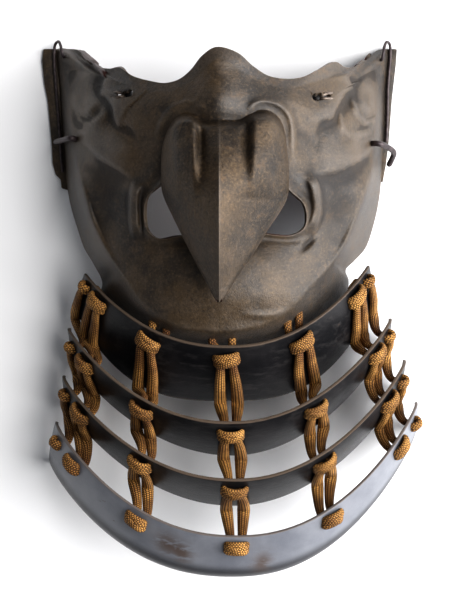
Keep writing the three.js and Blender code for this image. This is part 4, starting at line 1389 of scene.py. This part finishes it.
random = np.random.default_rng(7)
lacings = [make_lacing(letter, random) for letter in COLUMNS]
print("lacing faces:", [len(piece.data.polygons) for piece in lacings])

# %% [markdown]
# ## Rods, pegs and pins
#
# Two thin iron rods hook over the mask's upper corners and lie along the side strips. A bent peg stands out
# of each cheek for the helmet cord, and a split pin is bent over in each slot. All are round iron, so each
# is a fine round skin along the same points as its solid. A pin's loop swells to fill its slot and is
# painted black there, as painted shade.

# %% Iron wire
RODS = {
    "left": [
        (-83, 126, 3), (-83.3, 126, 7.5), (-83.6, 126, 11.5), (-84.3, 128.6, 12.4), (-85, 131.5, 10.5),
        (-86.5, 134.2, 7), (-88.6, 133.2, 3.4), (-89.2, 128, 3.1), (-88.3, 112, 3.1), (-86.7, 92, 3.1),
        (-85.4, 74, 3.1), (-84.6, 66.5, 3.1),
    ],
    "right": [
        (80.5, 124.5, 3), (80.9, 124.5, 7), (81.2, 124.5, 10.5), (81.7, 127.2, 11.6), (82.4, 130.8, 10),
        (84, 134, 7), (86, 133.2, 3.4), (86.3, 128, 3.1), (85.1, 112, 3.1), (84.7, 95, 3.1), (84.2, 82, 3.1),
    ],
}
PEGS = {
    "left": [
        (-71.5, 80.5, 24), (-74.2, 80.7, 29), (-77, 81, 34), (-82, 81.3, 24), (-86, 81.7, 13), (-88, 82, 7),
    ],
    "right": [
        (71.5, 79.5, 24), (74.2, 79, 28), (77, 78.5, 32), (82, 77.5, 26), (86.5, 75.5, 17), (86.3, 73, 11),
        (84.8, 69.5, 7),
    ],
}
ROD_RADIUS = 0.75
PEG_RADIUS = 1.45
PIN_RADIUS = 0.8
# A pin's loop swells this much to fill its slot with iron painted black, as the slot's shade.
LOOP_SWELL = 3.2
LOOP_REACH = 2.6
WIRE_SIDES = 16
WIRE_PITCH = 0.5
# A pin's corners from the tip of one leg, round the loop, to the other: out along the slot, aside, and up.
PIN_CORNERS = [
    (6.2, 1.4, 1.7), (3, 1.2, 2.1), (1, 0.9, 0.6), (-0.6, 0.8, -3), (-2.6, 0, -4.6),
    (-0.6, -0.8, -3), (1, -0.9, 0.6), (3, -1.2, 2.1), (5.8, -1.6, 1.7),
]
PIN_LOOP = 4  # the corner in the middle of the loop


def iron_wire(name, node, route, radius, material, loop=None):
    """A round rod along the route, with rounded ends. It may swell round one point, the middle of a loop."""
    line, walked = evenly(smooth_line(route, 12), WIRE_PITCH)
    girth = np.ones(len(line))
    if loop:
        girth += (LOOP_SWELL - 1) * bell(np.linalg.norm(line - np.array(loop), axis=1), LOOP_REACH, 4)
    tangent = unit(np.gradient(line, axis=0))
    side = np.cross(tangent[0], [0.3, 0.2, 1.0])
    sides = []
    for direction in tangent:
        side = unit(side - direction * side.dot(direction))
        sides.append(side)
    sides = np.array(sides)
    front = np.cross(sides, tangent)
    swell = round_ends(walked, radius) * radius * girth

    def ring(row, turn):
        return (sides[row] * np.cos(turn)[:, None] + front[row] * np.sin(turn)[:, None]) * swell[row, None]

    piece, _, row = tube(name, WIRE_SIDES, line, ring)
    # Painted shade: the swollen loop is marked to be painted black.
    write_attribute(piece, "inside", np.minimum(girth - 1, 1)[row])
    close_up(piece)
    dress(piece, material)
    claim(piece, node, sharp_angle=60)
    return piece


def pin_route(x, y, tilt):
    way_x = math.cos(tilt) * math.copysign(1, x)
    way_y = math.sin(tilt)
    route = []
    for out, side, lift in PIN_CORNERS:
        px = x + way_x * out - way_y * side
        py = y + way_y * out + way_x * side
        route.append((px, py, float(face_height(np.array(px), np.array(py))) + lift))
    return route


small_pieces = []
for hand in ("left", "right"):
    rod = iron_wire(f"rod_{hand}", f"guard_rod_{hand}", RODS[hand], ROD_RADIUS, wire_iron)
    peg = iron_wire(f"peg_{hand}", f"cord_peg_{hand}", PEGS[hand], PEG_RADIUS, wire_iron)
    legs = pin_route(*SLOTS[hand])
    pin = iron_wire(f"pin_{hand}", f"slot_pin_{hand}", legs, PIN_RADIUS, pin_iron, legs[PIN_LOOP])
    small_pieces += [rod, peg, pin]
print("iron pieces:", [piece.name for piece in small_pieces])

# %% [markdown]
# ## Table and light
#
# The guard lies on a plain white table. One large soft light stands high to its right, and a lower one under
# it grazes the forms, so each has a light right flank and a dark left one. The pale sky round it only keeps
# the shadows open.

# %% Table
TABLE_SIZE = 6.0
UNDER_GUARD = -0.0002
bpy.ops.object.select_all(action="DESELECT")
bpy.ops.mesh.primitive_plane_add(size=TABLE_SIZE, location=(0, 0, UNDER_GUARD))
table = bpy.context.active_object
table.name = "white_table"
table_finish = Finish("white_table_paper")
table.data.materials.append(table_finish.surface(Base_Color=colour(0.92, 0.92, 0.93), Roughness=0.9))


# %% Light
def soft_light(name, where, wide, tall, power, tint):
    """A rectangular light that faces the guard."""
    data = bpy.data.lights.new(name, "AREA")
    data.shape = "RECTANGLE"
    data.size = wide
    data.size_y = tall
    data.energy = power
    data.color = tint
    lamp = bpy.data.objects.new(name, data)
    lamp.location = where
    lamp.rotation_euler = (-lamp.location).to_track_quat("-Z", "Y").to_euler()
    scene.collection.objects.link(lamp)


soft_light("soft_main_high_right", (0.88, 0.02, 1.12), 1.2, 1.2, power=32.0, tint=(1.0, 0.985, 0.97))
soft_light("soft_low_right", (1.10, -0.02, 0.42), 1.1, 0.7, power=17.0, tint=(0.95, 0.97, 1.0))
world = bpy.data.worlds.new("pale_room")
world.use_nodes = True
sky = world.node_tree.nodes["Background"].inputs
sky["Color"].default_value = colour(0.90, 0.94, 1.0)
sky["Strength"].default_value = 0.18
scene.world = world
scene.view_settings.view_transform = "Standard"
scene.view_settings.look = "Medium High Contrast"
